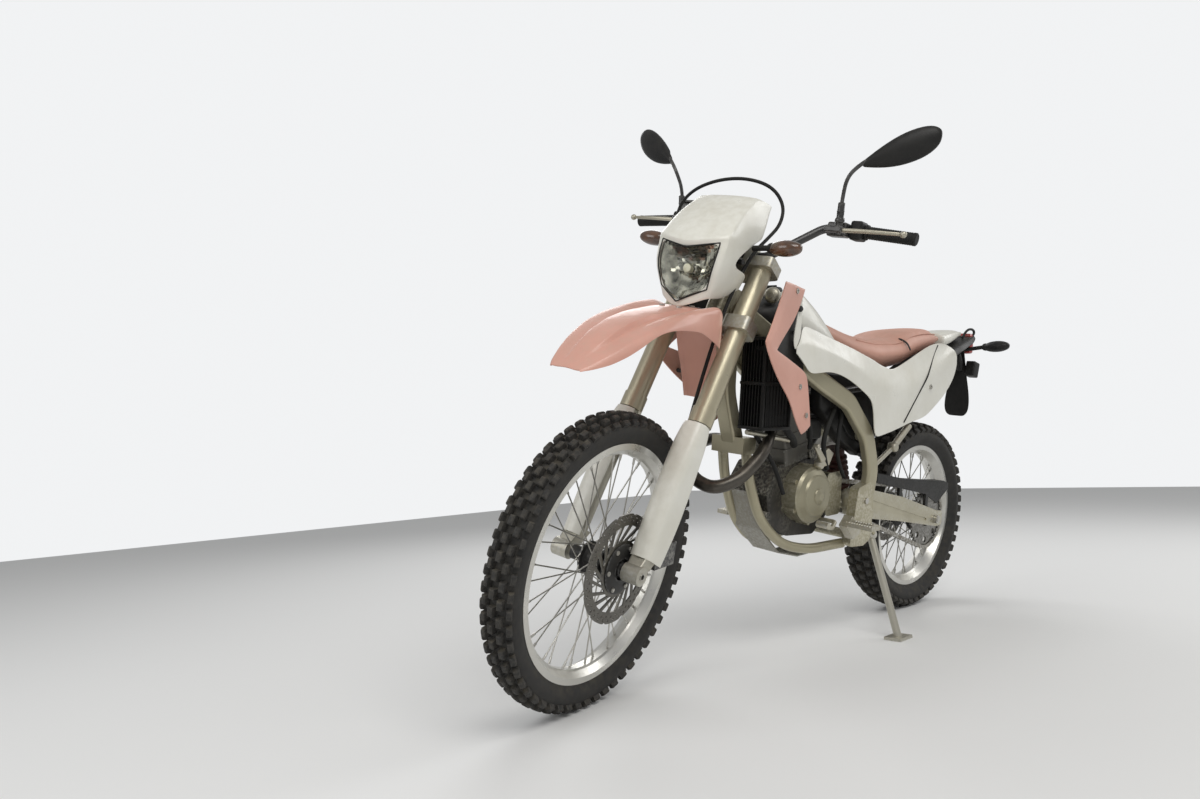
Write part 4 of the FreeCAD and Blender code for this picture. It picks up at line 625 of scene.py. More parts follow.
def turned_piece(name, profile, centre=Vector((0, 0, 0)), axis="Y", steps=48):
    """A profile of (radius, along) points, extruded point by point and spun about the axis."""
    nothing_chosen()
    bpy.ops.mesh.primitive_plane_add(size=2)
    piece = named(name)
    bpy.ops.object.mode_set(mode="EDIT")
    bpy.ops.mesh.select_mode(type="VERT")
    bpy.ops.mesh.select_all(action="SELECT")
    bpy.ops.mesh.merge(type="CENTER")
    bpy.ops.transform.translate(value=(profile[0][0], profile[0][1], 0))
    for (r0, a0), (r1, a1) in zip(profile, profile[1:]):
        bpy.ops.mesh.extrude_region_move(TRANSFORM_OT_translate={"value": (r1 - r0, a1 - a0, 0)})
    bpy.ops.mesh.select_all(action="SELECT")
    bpy.ops.mesh.spin(steps=steps, angle=math.tau, center=(0, 0, 0), axis=(0, 1, 0))
    bpy.ops.mesh.select_all(action="SELECT")
    bpy.ops.mesh.remove_doubles(threshold=0.01)
    bpy.ops.mesh.normals_make_consistent(inside=False)
    bpy.ops.object.mode_set(mode="OBJECT")
    if isinstance(axis, str):
        turn = {
            "Y": Matrix.Identity(4),
            "X": Matrix.Rotation(math.radians(-90), 4, "Z"),
            "Z": Matrix.Rotation(math.radians(90), 4, "X"),
        }[axis]
    else:
        turn = Vector((0, 1, 0)).rotation_difference(Vector(axis)).to_matrix().to_4x4()
    piece.data.transform(Matrix.Translation(centre) @ turn)
    return piece


def copies(piece, places):
    """Joins copies of a piece, one at each place, each with its own mesh."""
    made = []
    for place in places:
        one = piece.copy()
        one.data = piece.data.copy()
        one.data.transform(place)
        bpy.context.scene.collection.objects.link(one)
        made.append(one)
    name = piece.name
    bpy.data.objects.remove(piece)
    return joined(name, made)


def joined(name, pieces):
    nothing_chosen()
    for piece in pieces:
        piece.select_set(True)
    bpy.context.view_layer.objects.active = pieces[0]
    if len(pieces) > 1:
        bpy.ops.object.join()
    return named(name)


def mirrored(piece, name=None):
    """A copy of a piece on the machine's other side, its faces still outwards."""
    other = piece.copy()
    other.data = piece.data.copy()
    bpy.context.scene.collection.objects.link(other)
    other.data.transform(Matrix.Diagonal((1, -1, 1, 1)))
    other.data.flip_normals()
    if name:
        other.name = name
    return other


def both_sides(piece):
    return joined(piece.name, [piece, mirrored(piece)])


def bevelled_box(name, size, at, width, segments=2, tilt=None):
    """A block with rounded edges, its middle at a place, tilted about it if asked."""
    nothing_chosen()
    bpy.ops.mesh.primitive_cube_add(size=1, scale=size)
    piece = named(name)
    bpy.ops.object.mode_set(mode="EDIT")
    bpy.ops.mesh.select_all(action="SELECT")
    bpy.ops.mesh.bevel(offset=width, segments=segments, affect="EDGES")
    bpy.ops.object.mode_set(mode="OBJECT")
    settle(piece, Matrix.Translation(at) @ (tilt or Matrix.Identity(4)))
    return piece


def cable(name, points, radius, tight=3):
    """A round cable along a smooth line through its points' neighbourhood."""
    curve = bpy.data.curves.new(name, "CURVE")
    curve.dimensions = "3D"
    curve.bevel_depth = radius
    curve.bevel_resolution = 3
    curve.resolution_u = 6
    line = curve.splines.new("NURBS")
    line.points.add(len(points) - 1)
    for dot, point in zip(line.points, points):
        dot.co = (*point, 1)
    line.order_u = tight
    line.use_endpoint_u = True
    made = bpy.data.objects.new(name, curve)
    bpy.context.scene.collection.objects.link(made)
    choose(made)
    bpy.ops.object.convert(target="MESH")
    piece = named(name)
    smooth(piece, 60)
    return piece


# Front brake hose: from the lever, in an arc over the instruments, down the left fork leg

HOSE_RADIUS = 4.5
HOSE_UPPER = [
    (957, -226, 1200),
    (1002, -196, 1222),
    (1030, -140, 1262),
    (1012, -78, 1292),
    (992, -8, 1301),
    (965, 54, 1286),
    (950, 88, 1242),
    (974, 98, 1190),
    (1022, 94, 1150),
]
HOSE_DOWN_THE_LEG = [
    # in the stem's frame: v, y, height
    (84, 84, 1202),
    (88, 76, 1120),
    (86, 72, 1040),
    (70, 67, 960),
    (48, 62, 880),
    (30, 62, 790),
    (10, 63, 700),
    (-10, 65, 625),
    (-24, 68, 555),
]
HOSE_AT_CALIPER = [(1300.185, 78, 430.956), (1317.185, 84, 394.956)]
hose_route = [STEERED @ Vector(point) for point in HOSE_UPPER]
hose_route += [STEERED @ STEM @ Vector(point) for point in HOSE_DOWN_THE_LEG]
hose_route += [STEERED @ Vector(point) for point in HOSE_AT_CALIPER]
hose_curve = bpy.data.curves.new("brake_hose_line", "CURVE")
hose_curve.dimensions = "3D"
hose_curve.bevel_depth = HOSE_RADIUS / 1000
hose_curve.bevel_resolution = 4
hose_curve.resolution_u = 12
hose_spline = hose_curve.splines.new("NURBS")
hose_spline.points.add(len(hose_route) - 1)
for dot, point in zip(hose_spline.points, hose_route):
    dot.co = (*point, 1)
hose_spline.order_u = 3
hose_spline.use_endpoint_u = True
hose = bpy.data.objects.new("brake_hose_line", hose_curve)
bpy.context.scene.collection.objects.link(hose)
wear(hose, "black_rubber", "steering", ["brake_hose"])

# Tyres: a round carcass and rings of blocks, each block once modelled and copied

FRONT_WHEEL = STEERED @ Matrix.Translation(FRONT_AXLE)
REAR_WHEEL = MACHINE @ Matrix.Translation(REAR_AXLE)


def tread_block(name, along, wide, high, taper):
    nothing_chosen()
    bpy.ops.mesh.primitive_cube_add(size=1, scale=(high, wide, along))
    block = named(name)
    bpy.ops.object.transform_apply(location=False, rotation=False, scale=True)
    bpy.ops.object.mode_set(mode="EDIT")
    bpy.ops.mesh.select_all(action="DESELECT")
    bpy.ops.object.mode_set(mode="OBJECT")
    for face in block.data.polygons:
        face.select = face.normal.x > 0.9
    bpy.ops.object.mode_set(mode="EDIT")
    bpy.ops.mesh.select_mode(type="FACE")
    bpy.ops.transform.resize(value=(1, taper, taper))
    bpy.ops.mesh.bevel(offset=2.2, segments=1, affect="EDGES")
    bpy.ops.object.mode_set(mode="OBJECT")
    settle(block)
    return block


def knobby_tyre(name, outer, width, rim_r, rim_w, count, rings):
    """rings: offset across, radius at the block's middle, tilt, block along and wide, half a step round."""
    half = width / 2
    crown = outer - 13
    profile = [
        (rim_r - 6, rim_w / 2 - 4),
        (rim_r + 4, rim_w / 2 + 1),
        (rim_r + 12, rim_w / 2 + 6),
        (rim_r + (crown - rim_r) * 0.4, half - 6),
        (rim_r + (crown - rim_r) * 0.62, half - 5),
        (rim_r + (crown - rim_r) * 0.82, half * 0.78),
        (crown - 3, half * 0.45),
        (crown, 0),
    ]
    ring = profile + [(r, -y) for r, y in reversed(profile[:-1])]
    carcass = turned_piece(name, ring + [ring[0]], steps=96)
    smooth(carcass, 60)
    parts = [carcass]
    for index, (offset, radius, tilt, along, wide, shift) in enumerate(rings):
        for side in (1, -1) if offset else (1,):
            block = tread_block(f"block_{index}", along, wide, 15, 0.86)
            leaned = Matrix.Rotation(side * math.radians(tilt), 4, "Z")
            block.data.transform(Matrix.Translation((radius, side * offset, 0)) @ leaned)
            turns = [Matrix.Rotation(math.tau * (k + shift) / count, 4, "Y") for k in range(count)]
            parts.append(copies(block, turns))
    return joined(name, parts)


FRONT_RINGS = [
    # across, radius, tilt, along, wide, shift
    (0, 343.0, 0, 23, 15, 0.0),
    (20, 340.5, 14, 22, 13.5, 0.5),
    (35.5, 330.0, 42, 23, 13, 0.0),
]
REAR_RINGS = [
    (0, 315.0, 0, 25, 22, 0.0),
    (27, 312.0, 14, 24, 19, 0.5),
    (47.5, 300.0, 40, 26, 18, 0.0),
]
front_tyre = knobby_tyre(
    "front_tyre_knobbed", outer=350, width=88, rim_r=281, rim_w=56, count=58, rings=FRONT_RINGS
)
dress(front_tyre, FRONT_WHEEL, "tyre_rubber", "front_wheel", ["front_tyre"])
rear_tyre = knobby_tyre(
    "rear_tyre_knobbed", outer=322, width=118, rim_r=243, rim_w=68, count=50, rings=REAR_RINGS
)
dress(rear_tyre, REAR_WHEEL, "tyre_rubber", "rear_wheel", ["rear_tyre"])

# Bodywork: skins on a grid of sections, smoothed, with creases where the real panels fold


def between(table, at):
    """The row of a table at a place between its rows; its first column is the place."""
    rows = sorted(table)
    at = min(max(at, rows[0][0]), rows[-1][0])
    for low, high in zip(rows, rows[1:]):
        if at <= high[0]:
            share = (at - low[0]) / (high[0] - low[0])
            return [a + (b - a) * share for a, b in zip(low[1:], high[1:])]


def spot_key(point):
    return tuple(round(c, 1) for c in point)


def crease(piece, rows, columns=(), lines=(), amount=0.8):
    """Creases the edges that run along the named columns and rows of a grid of points."""
    runs = [{spot_key(row[c]) for row in rows} for c in columns]
    runs += [{spot_key(point) for point in rows[i]} for i in lines]

    def on_a_run(edge):
        ends = [spot_key(v.co) for v in edge.verts]
        return any(ends[0] in run and ends[1] in run for run in runs)

    sharpen(piece, on_a_run, amount)


def drop_faces(piece, unwanted):
    """Deletes the faces whose corner points pass the test."""
    choose(piece)
    bpy.ops.object.mode_set(mode="EDIT")
    bpy.ops.mesh.select_mode(type="FACE")
    bpy.ops.mesh.select_all(action="DESELECT")
    bpy.ops.object.mode_set(mode="OBJECT")
    for face in piece.data.polygons:
        face.select = unwanted([piece.data.vertices[i].co for i in face.vertices])
    bpy.ops.object.mode_set(mode="EDIT")
    bpy.ops.mesh.delete(type="FACE")
    bpy.ops.object.mode_set(mode="OBJECT")


def hull(name, rings, levels=2, columns=(), lines=(), amount=0.8):
    """A closed body through rings of points, with both ends filled."""
    rows = [list(ring) + [ring[0]] for ring in rings]
    piece = grid(name, rows)
    crease(piece, rows, columns, lines, amount)
    choose(piece)
    bpy.ops.object.mode_set(mode="EDIT")
    bpy.ops.mesh.select_mode(type="VERT")
    bpy.ops.mesh.select_all(action="SELECT")
    bpy.ops.mesh.remove_doubles(threshold=0.05)
    bpy.ops.mesh.select_all(action="SELECT")
    bpy.ops.mesh.fill_holes(sides=0)
    bpy.ops.mesh.select_all(action="SELECT")
    bpy.ops.mesh.normals_make_consistent(inside=False)
    bpy.ops.object.mode_set(mode="OBJECT")
    if levels:
        rounding = piece.modifiers.new("rounding", "SUBSURF")
        rounding.levels = levels
        rounding.render_levels = levels
        keep_modifiers(piece)
    smooth(piece)
    return piece


def bar(name, start, end, radius, steps=20):
    """A round bar with rolled ends."""
    start = Vector(start)
    end = Vector(end)
    long = (end - start).length
    roll = min(radius * 0.25, long * 0.2)
    near_end = [(0, 0), (radius - roll, 0), (radius, roll)]
    profile = near_end + [(radius, long - roll), (radius - roll, long), (0, long)]
    piece = turned_piece(name, profile, start, end - start, steps)
    smooth(piece)
    return piece


def bolt(name, at, way, radius=6.0, high=4.0):
    """A cap screw: round head with a socket, made by insetting its top face."""
    nothing_chosen()
    bpy.ops.mesh.primitive_cylinder_add(vertices=24, radius=radius, depth=high)
    piece = named(name)
    bpy.ops.object.mode_set(mode="EDIT")
    bpy.ops.mesh.select_mode(type="FACE")
    bpy.ops.mesh.select_all(action="DESELECT")
    bpy.ops.object.mode_set(mode="OBJECT")
    for face in piece.data.polygons:
        face.select = face.normal.z > 0.9
    bpy.ops.object.mode_set(mode="EDIT")
    bpy.ops.mesh.inset(thickness=radius * 0.18, depth=0)
    bpy.ops.mesh.inset(thickness=radius * 0.28, depth=0)
    bpy.ops.mesh.extrude_region_move(TRANSFORM_OT_translate={"value": (0, 0, -high * 0.55)})
    bpy.ops.object.mode_set(mode="OBJECT")
    turn = Vector((0, 0, 1)).rotation_difference(Vector(way)).to_matrix().to_4x4()
    settle(piece, Matrix.Translation(Vector(at) + Vector(way).normalized() * high * 0.5) @ turn)
    smooth(piece, 30)
    return piece


def bolts(name, spots, body="chassis", place=MACHINE, slot_name="bolt_steel", radius=6.0, high=4.0):
    """Bolts at (place, direction) spots, joined."""
    made = [bolt(f"{name}_{i}", at, way, radius, high) for i, (at, way) in enumerate(spots)]
    piece = joined(name, made)
    settle(piece, place)
    return wear(piece, slot_name, body)


# Hubs, spokes and brake discs


def wheel_hub(name, half, barrel, flange_r, flange_y, carriers):
    """A turned hub with two spoke flanges, and carriers of (radius, near y, far y) for disc or sprocket."""
    side = [
        (8.6, half),
        (barrel - 9, half),
        (barrel - 7, half - 2),
        (barrel - 7, flange_y + 16),
        (barrel - 1, flange_y + 9),
        (barrel, flange_y + 4),
        (flange_r + 3.5, flange_y + 4),
        (flange_r + 5, flange_y + 2.5),
        (flange_r + 5, flange_y - 2),
        (flange_r + 3, flange_y - 3),
        (barrel + 6, flange_y - 4),
        (barrel, flange_y - 10),
        (barrel - 1, 4),
    ]
    whole = [(r, -y) for r, y in side] + [(r, y) for r, y in reversed(side)]
    parts = [turned_piece(name, whole + [whole[0]], steps=64)]
    for r, near, far in carriers:
        flare = [(barrel - 8, near), (r - 9, near + (far - near) * 0.45), (r, near + (far - near) * 0.7)]
        flare += [(r, far), (barrel - 8, far), flare[0]]
        parts.append(turned_piece("carrier", flare, steps=64))
    hub = joined(name, parts)
    weld(hub, 0.01)
    smooth(hub, 35)
    return hub


SPOKES = 36
SPOKE_LEAN = math.radians(52)


def wheel_spokes(name, flange_r, flange_y, rim_r):
    """One spoke with its nipple, copied round the wheel in crossed pairs."""
    places = []
    for i in range(SPOKES):
        angle = math.tau * i / SPOKES
        side = 1 if i % 2 else -1
        root = angle + (SPOKE_LEAN if (i // 2) % 2 else -SPOKE_LEAN)
        start = Vector((flange_r * math.cos(root), side * flange_y, flange_r * math.sin(root)))
        end = Vector((rim_r * math.cos(angle), side * 5, rim_r * math.sin(angle)))
        turn = Vector((0, 1, 0)).rotation_difference(end - start).to_matrix().to_4x4()
        places.append(Matrix.Translation(start) @ turn)
        length = (end - start).length
    profile = [(0, -3), (2.9, -2.6), (2.9, -0.5), (1.7, 1.5), (1.7, length - 17), (2.8, length - 16)]
    spoke = turned_piece(name, profile + [(3.1, length - 1), (0, length - 1)], steps=8)
    weld(spoke, 0.01)
    smooth(spoke, 50)
    return copies(spoke, places)


def prism(name, outline, y, thick):
    """A flat outline of (x, z) points, filled and extruded through y."""
    nothing_chosen()
    bpy.ops.mesh.primitive_circle_add(vertices=len(outline), radius=1, fill_type="NGON")
    piece = named(name)
    for vert, (x, z) in zip(piece.data.vertices, outline):
        vert.co = (x, y - thick / 2, z)
    bpy.ops.object.mode_set(mode="EDIT")
    bpy.ops.mesh.select_all(action="SELECT")
    bpy.ops.mesh.extrude_region_move(TRANSFORM_OT_translate={"value": (0, thick, 0)})
    bpy.ops.mesh.select_all(action="SELECT")
    bpy.ops.mesh.normals_make_consistent(inside=False)
    bpy.ops.object.mode_set(mode="OBJECT")
    return piece


def ring_line(radius, start, end, steps):
    turns = [start + (end - start) * i / steps for i in range(steps + 1)]
    return [(radius * math.cos(a), radius * math.sin(a)) for a in turns]


def round_places(count, shift=0.0):
    return [Matrix.Rotation(math.tau * (i + shift) / count, 4, "Y") for i in range(count)]


def cut_away(piece, cutters):
    """Cuts the joined cutters out of a piece."""
    cutter = joined("cutter", cutters)
    cut = piece.modifiers.new("cut", "BOOLEAN")
    cut.operation = "DIFFERENCE"
    cut.solver = "EXACT"
    cut.object = cutter
    keep_modifiers(piece)
    bpy.data.objects.remove(cutter)
    return piece


def brake_disc(name, y, radius, thick, bore, waves, slots, slot_in, slot_out, slant):
    disc = prism(name, ring_line(radius, 0, math.tau * 239 / 240, 239), y, thick)
    deep = thick * 3
    whole = math.tau / slots
    inner_half = whole * 0.28
    outer_half = whole * 0.36
    slot = prism(
        "slot",
        ring_line(slot_in, -inner_half, inner_half, 3)
        + ring_line(slot_out, slant + outer_half, slant - outer_half, 4),
        y,
        deep,
    )
    hole = prism("hole", circle(radius - 8, 3.4, 10), y, deep + 1)
    far_hole = prism("hole", circle(radius - 16, 3, 10), y, deep + 2)
    bite = prism("bite", circle(radius + 7, 10, 28), y, deep + 3)
    middle = prism("bore", ring_line(bore, 0, math.tau * 47 / 48, 47), y, deep + 4)
    cutters = [
        copies(slot, round_places(slots)),
        copies(hole, round_places(waves * 3)),
        copies(far_hole, round_places(waves * 3, 0.5)),
        copies(bite, round_places(waves, 0.5)),
        middle,
    ]
    cut_away(disc, cutters)
    round_edges(disc, 0.35, 1, 50)
    keep_modifiers(disc)
    smooth(disc, 30)
    return disc


def ring_angles(count):
    return [math.tau * i / count for i in range(count)]


def circle(at, radius, steps):
    """Points round a circle whose middle lies at a distance along the first axis."""
    return [(at + radius * math.cos(a), radius * math.sin(a)) for a in ring_angles(steps)]


def ring_bolts(name, count, radius, y, high, size, shift=0.0):
    """Screw heads round a circle, standing out from y by high."""
    way = 1 if high > 0 else -1
    tall = abs(high)
    head = [
        (0, tall),
        (size * 0.5, tall),
        (size * 0.5, tall * 0.6),
        (size * 0.85, tall),
        (size, tall * 0.75),
        (size, 0),
        (0, 0),
    ]
    screw = turned_piece(name, head, steps=12)
    if way < 0:
        screw.data.transform(Matrix.Rotation(math.pi, 4, "X"))
    screw.data.transform(Matrix.Translation((radius, y, 0)))
    weld(screw, 0.01)
    smooth(screw, 40)
    return copies(screw, round_places(count, shift))


front_hub = wheel_hub(
    "front_hub_turned", half=72, barrel=24, flange_r=34, flange_y=26, carriers=[(57, 33, 59.8)]
)
dress(front_hub, FRONT_WHEEL, "hub_dark", "front_wheel", ["front_hub"])
front_spokes = wheel_spokes("front_spokes", flange_r=34, flange_y=26, rim_r=251.6)
dress(front_spokes, FRONT_WHEEL, "bolt_steel", "front_wheel")
front_disc = brake_disc(
    "front_disc_wave", y=62, radius=128, thick=4, bore=32, waves=12,
    slots=20, slot_in=66, slot_out=101, slant=math.radians(22),
)
dress(front_disc, FRONT_WHEEL, "disc_steel", "front_wheel", ["front_disc"])
carrier_profile = [(25, 64.1), (57, 64.1), (58.5, 64.8), (58.5, 66), (56, 67.4), (40, 68)]
carrier_profile += [(30, 70), (25, 70), (25, 64.1)]
front_carrier = turned_piece("front_disc_carrier", carrier_profile, steps=64)
smooth(front_carrier, 35)
dress(front_carrier, FRONT_WHEEL, "hub_dark", "front_wheel")
front_disc_bolts = ring_bolts("front_disc_bolts", count=6, radius=50, y=67.5, high=3.5, size=5.5)
dress(front_disc_bolts, FRONT_WHEEL, "bolt_steel", "front_wheel")

rear_hub = wheel_hub(
    "rear_hub_turned", half=77, barrel=30, flange_r=46, flange_y=28, carriers=[(64, 36, 70), (62, -36, -65.8)]
)
dress(rear_hub, REAR_WHEEL, "hub_dark", "rear_wheel", ["rear_hub"])
rear_spokes = wheel_spokes("rear_spokes", flange_r=46, flange_y=28, rim_r=213.6)
dress(rear_spokes, REAR_WHEEL, "bolt_steel", "rear_wheel")
rear_disc = brake_disc(
    "rear_disc_wave", y=-68, radius=110, thick=4, bore=38, waves=10,
    slots=16, slot_in=66, slot_out=85, slant=math.radians(14),
)
dress(rear_disc, REAR_WHEEL, "disc_steel", "rear_wheel", ["rear_disc"])
rear_disc_bolts = ring_bolts("rear_disc_bolts", count=6, radius=52, y=-70, high=-5, size=6.5)
dress(rear_disc_bolts, REAR_WHEEL, "bolt_steel", "rear_wheel")

# Headlight cowl: rows from the chin up, each from its middle round to its rear edge

COWL = [
    # middle, half way, lens edge, corner, cheek, cheek's rear, rear edge
    (
        (1266, 0, 946), (1258, 30, 956), (1242, 58, 972), (1228, 66, 976),
        (1185, 64, 978), (1150, 66, 986), (1112, 78, 1008),
    ),
    (
        (1270, 0, 960), (1259, 31, 978), (1243, 63, 996), (1233, 74, 996),
        (1190, 82, 998), (1150, 84, 1006), (1104, 84, 1030),
    ),
    (
        (1276, 0, 1020), (1268, 37, 1028), (1252, 73, 1036), (1241, 86, 1036),
        (1212, 93, 1038), (1175, 94, 1042), (1102, 90, 1050),
    ),
    (
        (1276, 0, 1046), (1268, 39, 1052), (1252, 77, 1058), (1240, 91, 1058),
        (1222, 95, 1056), (1205, 96, 1055), (1184, 96, 1054),
    ),
    (
        (1271, 0, 1068), (1263, 39, 1076), (1247, 79, 1082), (1236, 94, 1083),
        (1218, 97, 1082), (1203, 98, 1078), (1184, 98, 1074),
    ),
    (
        (1262, 0, 1090), (1254, 40, 1098), (1240, 79, 1107), (1231, 95, 1108),
        (1205, 99, 1108), (1170, 99, 1108), (1133, 98, 1107),
    ),
    (
        (1268, 0, 1102), (1259, 41, 1110), (1243, 80, 1118), (1229, 96, 1120),
        (1195, 99, 1124), (1130, 98, 1130), (1062, 96, 1140),
    ),
    (
        (1238, 0, 1140), (1231, 45, 1143), (1216, 80, 1147), (1202, 93, 1150),
        (1165, 97, 1155), (1105, 97, 1160), (1050, 96, 1168),
    ),
    (
        (1190, 0, 1184), (1184, 45, 1186), (1172, 78, 1189), (1161, 89, 1190),
        (1130, 93, 1194), (1080, 93, 1198), (1036, 92, 1204),
    ),
    (
        (1112, 0, 1237), (1108, 42, 1237), (1100, 74, 1235), (1092, 83, 1234),
        (1070, 87, 1232), (1045, 89, 1230), (1024, 90, 1226),
    ),
]
LAMP_ROWS = slice(1, 6)
LAMP_COLUMNS = slice(4, 9)


def cowl_line(half):
    return [Vector(p) for p in reversed(half)] + [Vector((x, -y, z)) for x, y, z in half[1:]]


cowl_rows = [cowl_line(half) for half in COWL]
lamp_frame = [row[LAMP_COLUMNS] for row in cowl_rows[LAMP_ROWS]]
lamp_spots = {spot_key(point) for row in lamp_frame for point in row}
cowl = grid("headlight_cowl_shell", cowl_rows)
crease(cowl, cowl_rows[LAMP_ROWS], columns=(4, 8), amount=0.95)
crease(cowl, lamp_frame, lines=(0, 4), amount=0.95)
crease(cowl, cowl_rows, columns=(3, 9), amount=0.55)
crease(cowl, cowl_rows, columns=(0, 12), lines=(0, len(cowl_rows) - 1), amount=0.7)
crease(cowl, cowl_rows, lines=(6,), amount=0.5)
drop_faces(cowl, lambda corners: all(spot_key(c) in lamp_spots for c in corners))
skin(cowl, wall=3.4, edge=0.9, way=(1, 0, 0.4))
dress(cowl, STEERED, "white_plastic", "steering", ["headlight_cowl"])


def in_lamp(up, across):
    """The point of the lamp's opening at shares up (0 to 1) and across (-1 to 1)."""
    row = min(int(up * 4), 3)
    column = min(int((across + 1) * 2), 3)
    rise = up * 4 - row
    reach = (across + 1) * 2 - column
    low = lamp_frame[row][column].lerp(lamp_frame[row][column + 1], reach)
    high = lamp_frame[row + 1][column].lerp(lamp_frame[row + 1][column + 1], reach)
    return low.lerp(high, rise)


LENS_BACK = Vector((-1.5, 0, 0))
lens_rows = [
    [in_lamp(0.01 + i * 0.98 / 6, 0.985 * (j / 4 - 1)) + LENS_BACK for j in range(9)] for i in range(7)
]
lens = grid("headlight_lens_clear", lens_rows)
crease(lens, lens_rows, columns=(0, 8), lines=(0, 6), amount=1.0)
skin(lens, wall=2.6, levels=2, edge=0.5, way=(1, 0, 0))
dress(lens, STEERED, "lens_clear", "steering", ["headlight_lens"])

BOWL_DEPTH = 50


def bowl_point(up, across):
    """A point of the reflector: deep in the middle, stepped into facets that fan out."""
    hollow = (1 - abs(across) ** 2.2) * (1 - abs(2 * up - 1) ** 2.6)
    facet = 3.0 * math.cos(across * 15) * math.cos(up * 9)
    edge = in_lamp(0.03 + up * 0.94, 0.93 * across)
    return edge + Vector((-8 - BOWL_DEPTH * hollow - facet * hollow, 0, 0))


bowl_rows = [[bowl_point(i / 12, j / 7 - 1) for j in range(15)] for i in range(13)]
reflector = grid("headlight_reflector", bowl_rows)
face_outwards(reflector, (1, 0, 0))
choose(reflector)
reflector_wall = reflector.modifiers.new("wall", "SOLIDIFY")
reflector_wall.thickness = 2
reflector_wall.offset = -1
keep_modifiers(reflector)
bulb_base = turned_piece(
    "bulb_base", [(0, 0), (15, 0), (15, 9), (10, 13), (10, 20), (0, 20)], (1206, 0, 1042), "X", 32
)
smooth(bulb_base)
reflector = joined("headlight_reflector", [reflector, bulb_base])
dress(reflector, STEERED, "reflector", "steering", ["headlight_bowl"])
bulb_cap = turned_piece(
    "bulb_shield", [(0, 0), (11, 0), (12, 3), (12, 12), (10, 15), (0, 16)], (1226, 0, 1042), "X", 32
)
smooth(bulb_cap)
dress(bulb_cap, STEERED, "clamp_silver", "steering")
bezel_line = [in_lamp(0, j / 8 - 1) for j in range(17)] + [in_lamp(i / 8, 1) for i in range(1, 9)]
bezel_line += [in_lamp(1, 1 - j / 8) for j in range(1, 17)] + [in_lamp(1 - i / 8, -1) for i in range(1, 9)]
bezel = cable("lens_bezel", [p + Vector((0.4, 0, 0)) for p in bezel_line], 1.7, 2)
dress(bezel, STEERED, "black_rubber", "steering")

# Front mudguard: sections along it, each from its middle to its turned-down edge

FENDER = [
    # x, z middle, y and z of the shoulder, y and z of the edge
    (1655, 799, 28, 800, 40, 796),
    (1636, 813, 42, 813, 55, 802),
    (1600, 837, 53, 837, 73, 815),
    (1560, 862, 60, 861, 88, 836),
    (1520, 882, 64, 882, 96, 860),
    (1489, 895, 67, 896, 101, 881),
    (1450, 907, 70, 911, 104, 893),
    (1410, 917, 75, 926, 105, 898),
    (1313, 936, 85, 951, 106, 899),
    (1240, 945, 91, 964, 105, 876),
    (1215, 948, 91, 966, 104, 867),
    (1186, 940, 80, 948, 95, 856),
    (1171, 923.4, 54, 923.4, 62, 902),
    (1112, 892.6, 54, 892.6, 60, 874),
]
FENDER_AT = [1655, 1647, 1636, 1618, 1600, 1580, 1560, 1520, 1489, 1450]
FENDER_AT += [1410, 1360, 1313, 1275, 1240, 1215, 1186, 1171, 1140, 1112]
SPINE = [
    # x, half width and height of the raised middle band
    (1186, 40, 0),
    (1215, 42, 5),
    (1440, 38, 10),
    (1560, 30, 9),
    (1640, 16, 0),
]


def fender_line(x):
    middle, shoulder_y, shoulder_z, edge_y, edge_z = between(FENDER, x)
    spine_y, spine_h = between(SPINE, x)
    half = [
        (0, middle + 1.5 + spine_h),
        (spine_y * 0.6, middle + 1.2 + spine_h),
        (spine_y, middle + 0.6 + spine_h * 0.85),
        (spine_y + 6, middle - spine_h * 0.25),
        (shoulder_y, shoulder_z - 1.0),
        (shoulder_y + (edge_y - shoulder_y) * 0.62, shoulder_z + (edge_z - shoulder_z) * 0.16),
        (edge_y - (edge_y - shoulder_y) * 0.04, edge_z + (shoulder_z - edge_z) * 0.35),
        (edge_y, edge_z),
    ]
    return [Vector((x, y, z)) for y, z in reversed(half)] + [Vector((x, -y, z)) for y, z in half[1:]]


fender_rows = [fender_line(x) for x in FENDER_AT]
fender = grid("front_fender_shell", fender_rows)
crease(fender, fender_rows, columns=(4, 5, 9, 10), amount=0.6)
crease(fender, fender_rows, columns=(2, 12), amount=0.75)
crease(fender, fender_rows, columns=(0, 14), lines=(0, len(fender_rows) - 1), amount=0.8)
skin(fender, wall=3.0, edge=0.9, way=(0, 0, 1))
dress(fender, STEERED, "pink_plastic", "steering", ["front_fender"])
fender_spots = [
    ((x, y, between(FENDER, x)[0] + between(SPINE, x)[1] + 0.5), (0, 0, 1))
    for x in (1232, 1290)
    for y in (-24, 24)
]
bolts("fender_bolts", fender_spots, "steering", STEERED, radius=7, high=3)

# Fork guards, in the stem's frame: height, half width, front and rear

GUARD = [
    # u, half width, front v, rear v
    (402, 27, 74, 4),
    (500, 28, 82, -2),
    (600, 30, 82, 8),
    (670, 32, 80, 20),
    (722, 31, 77, 26),
    (742, 28, 72, 34),
]
GUARD_AT = [402, 410, 450, 500, 550, 600, 640, 670, 700, 732, 742]
FORK_Y = 100


def guard_line(u):
    half, front, rear = between(GUARD, u)
    line = [
        (rear, half),
        (rear + 18, half + 0.3),
        (front - 16, half - 0.5),
        (front - 6, half - 6),
        (front - 0.5, half - 16),
        (front, 0),
        (front - 2, -half + 12),
        (front - 12, -half),
    ]
    return [Vector((v, FORK_Y + y, u)) for v, y in line]


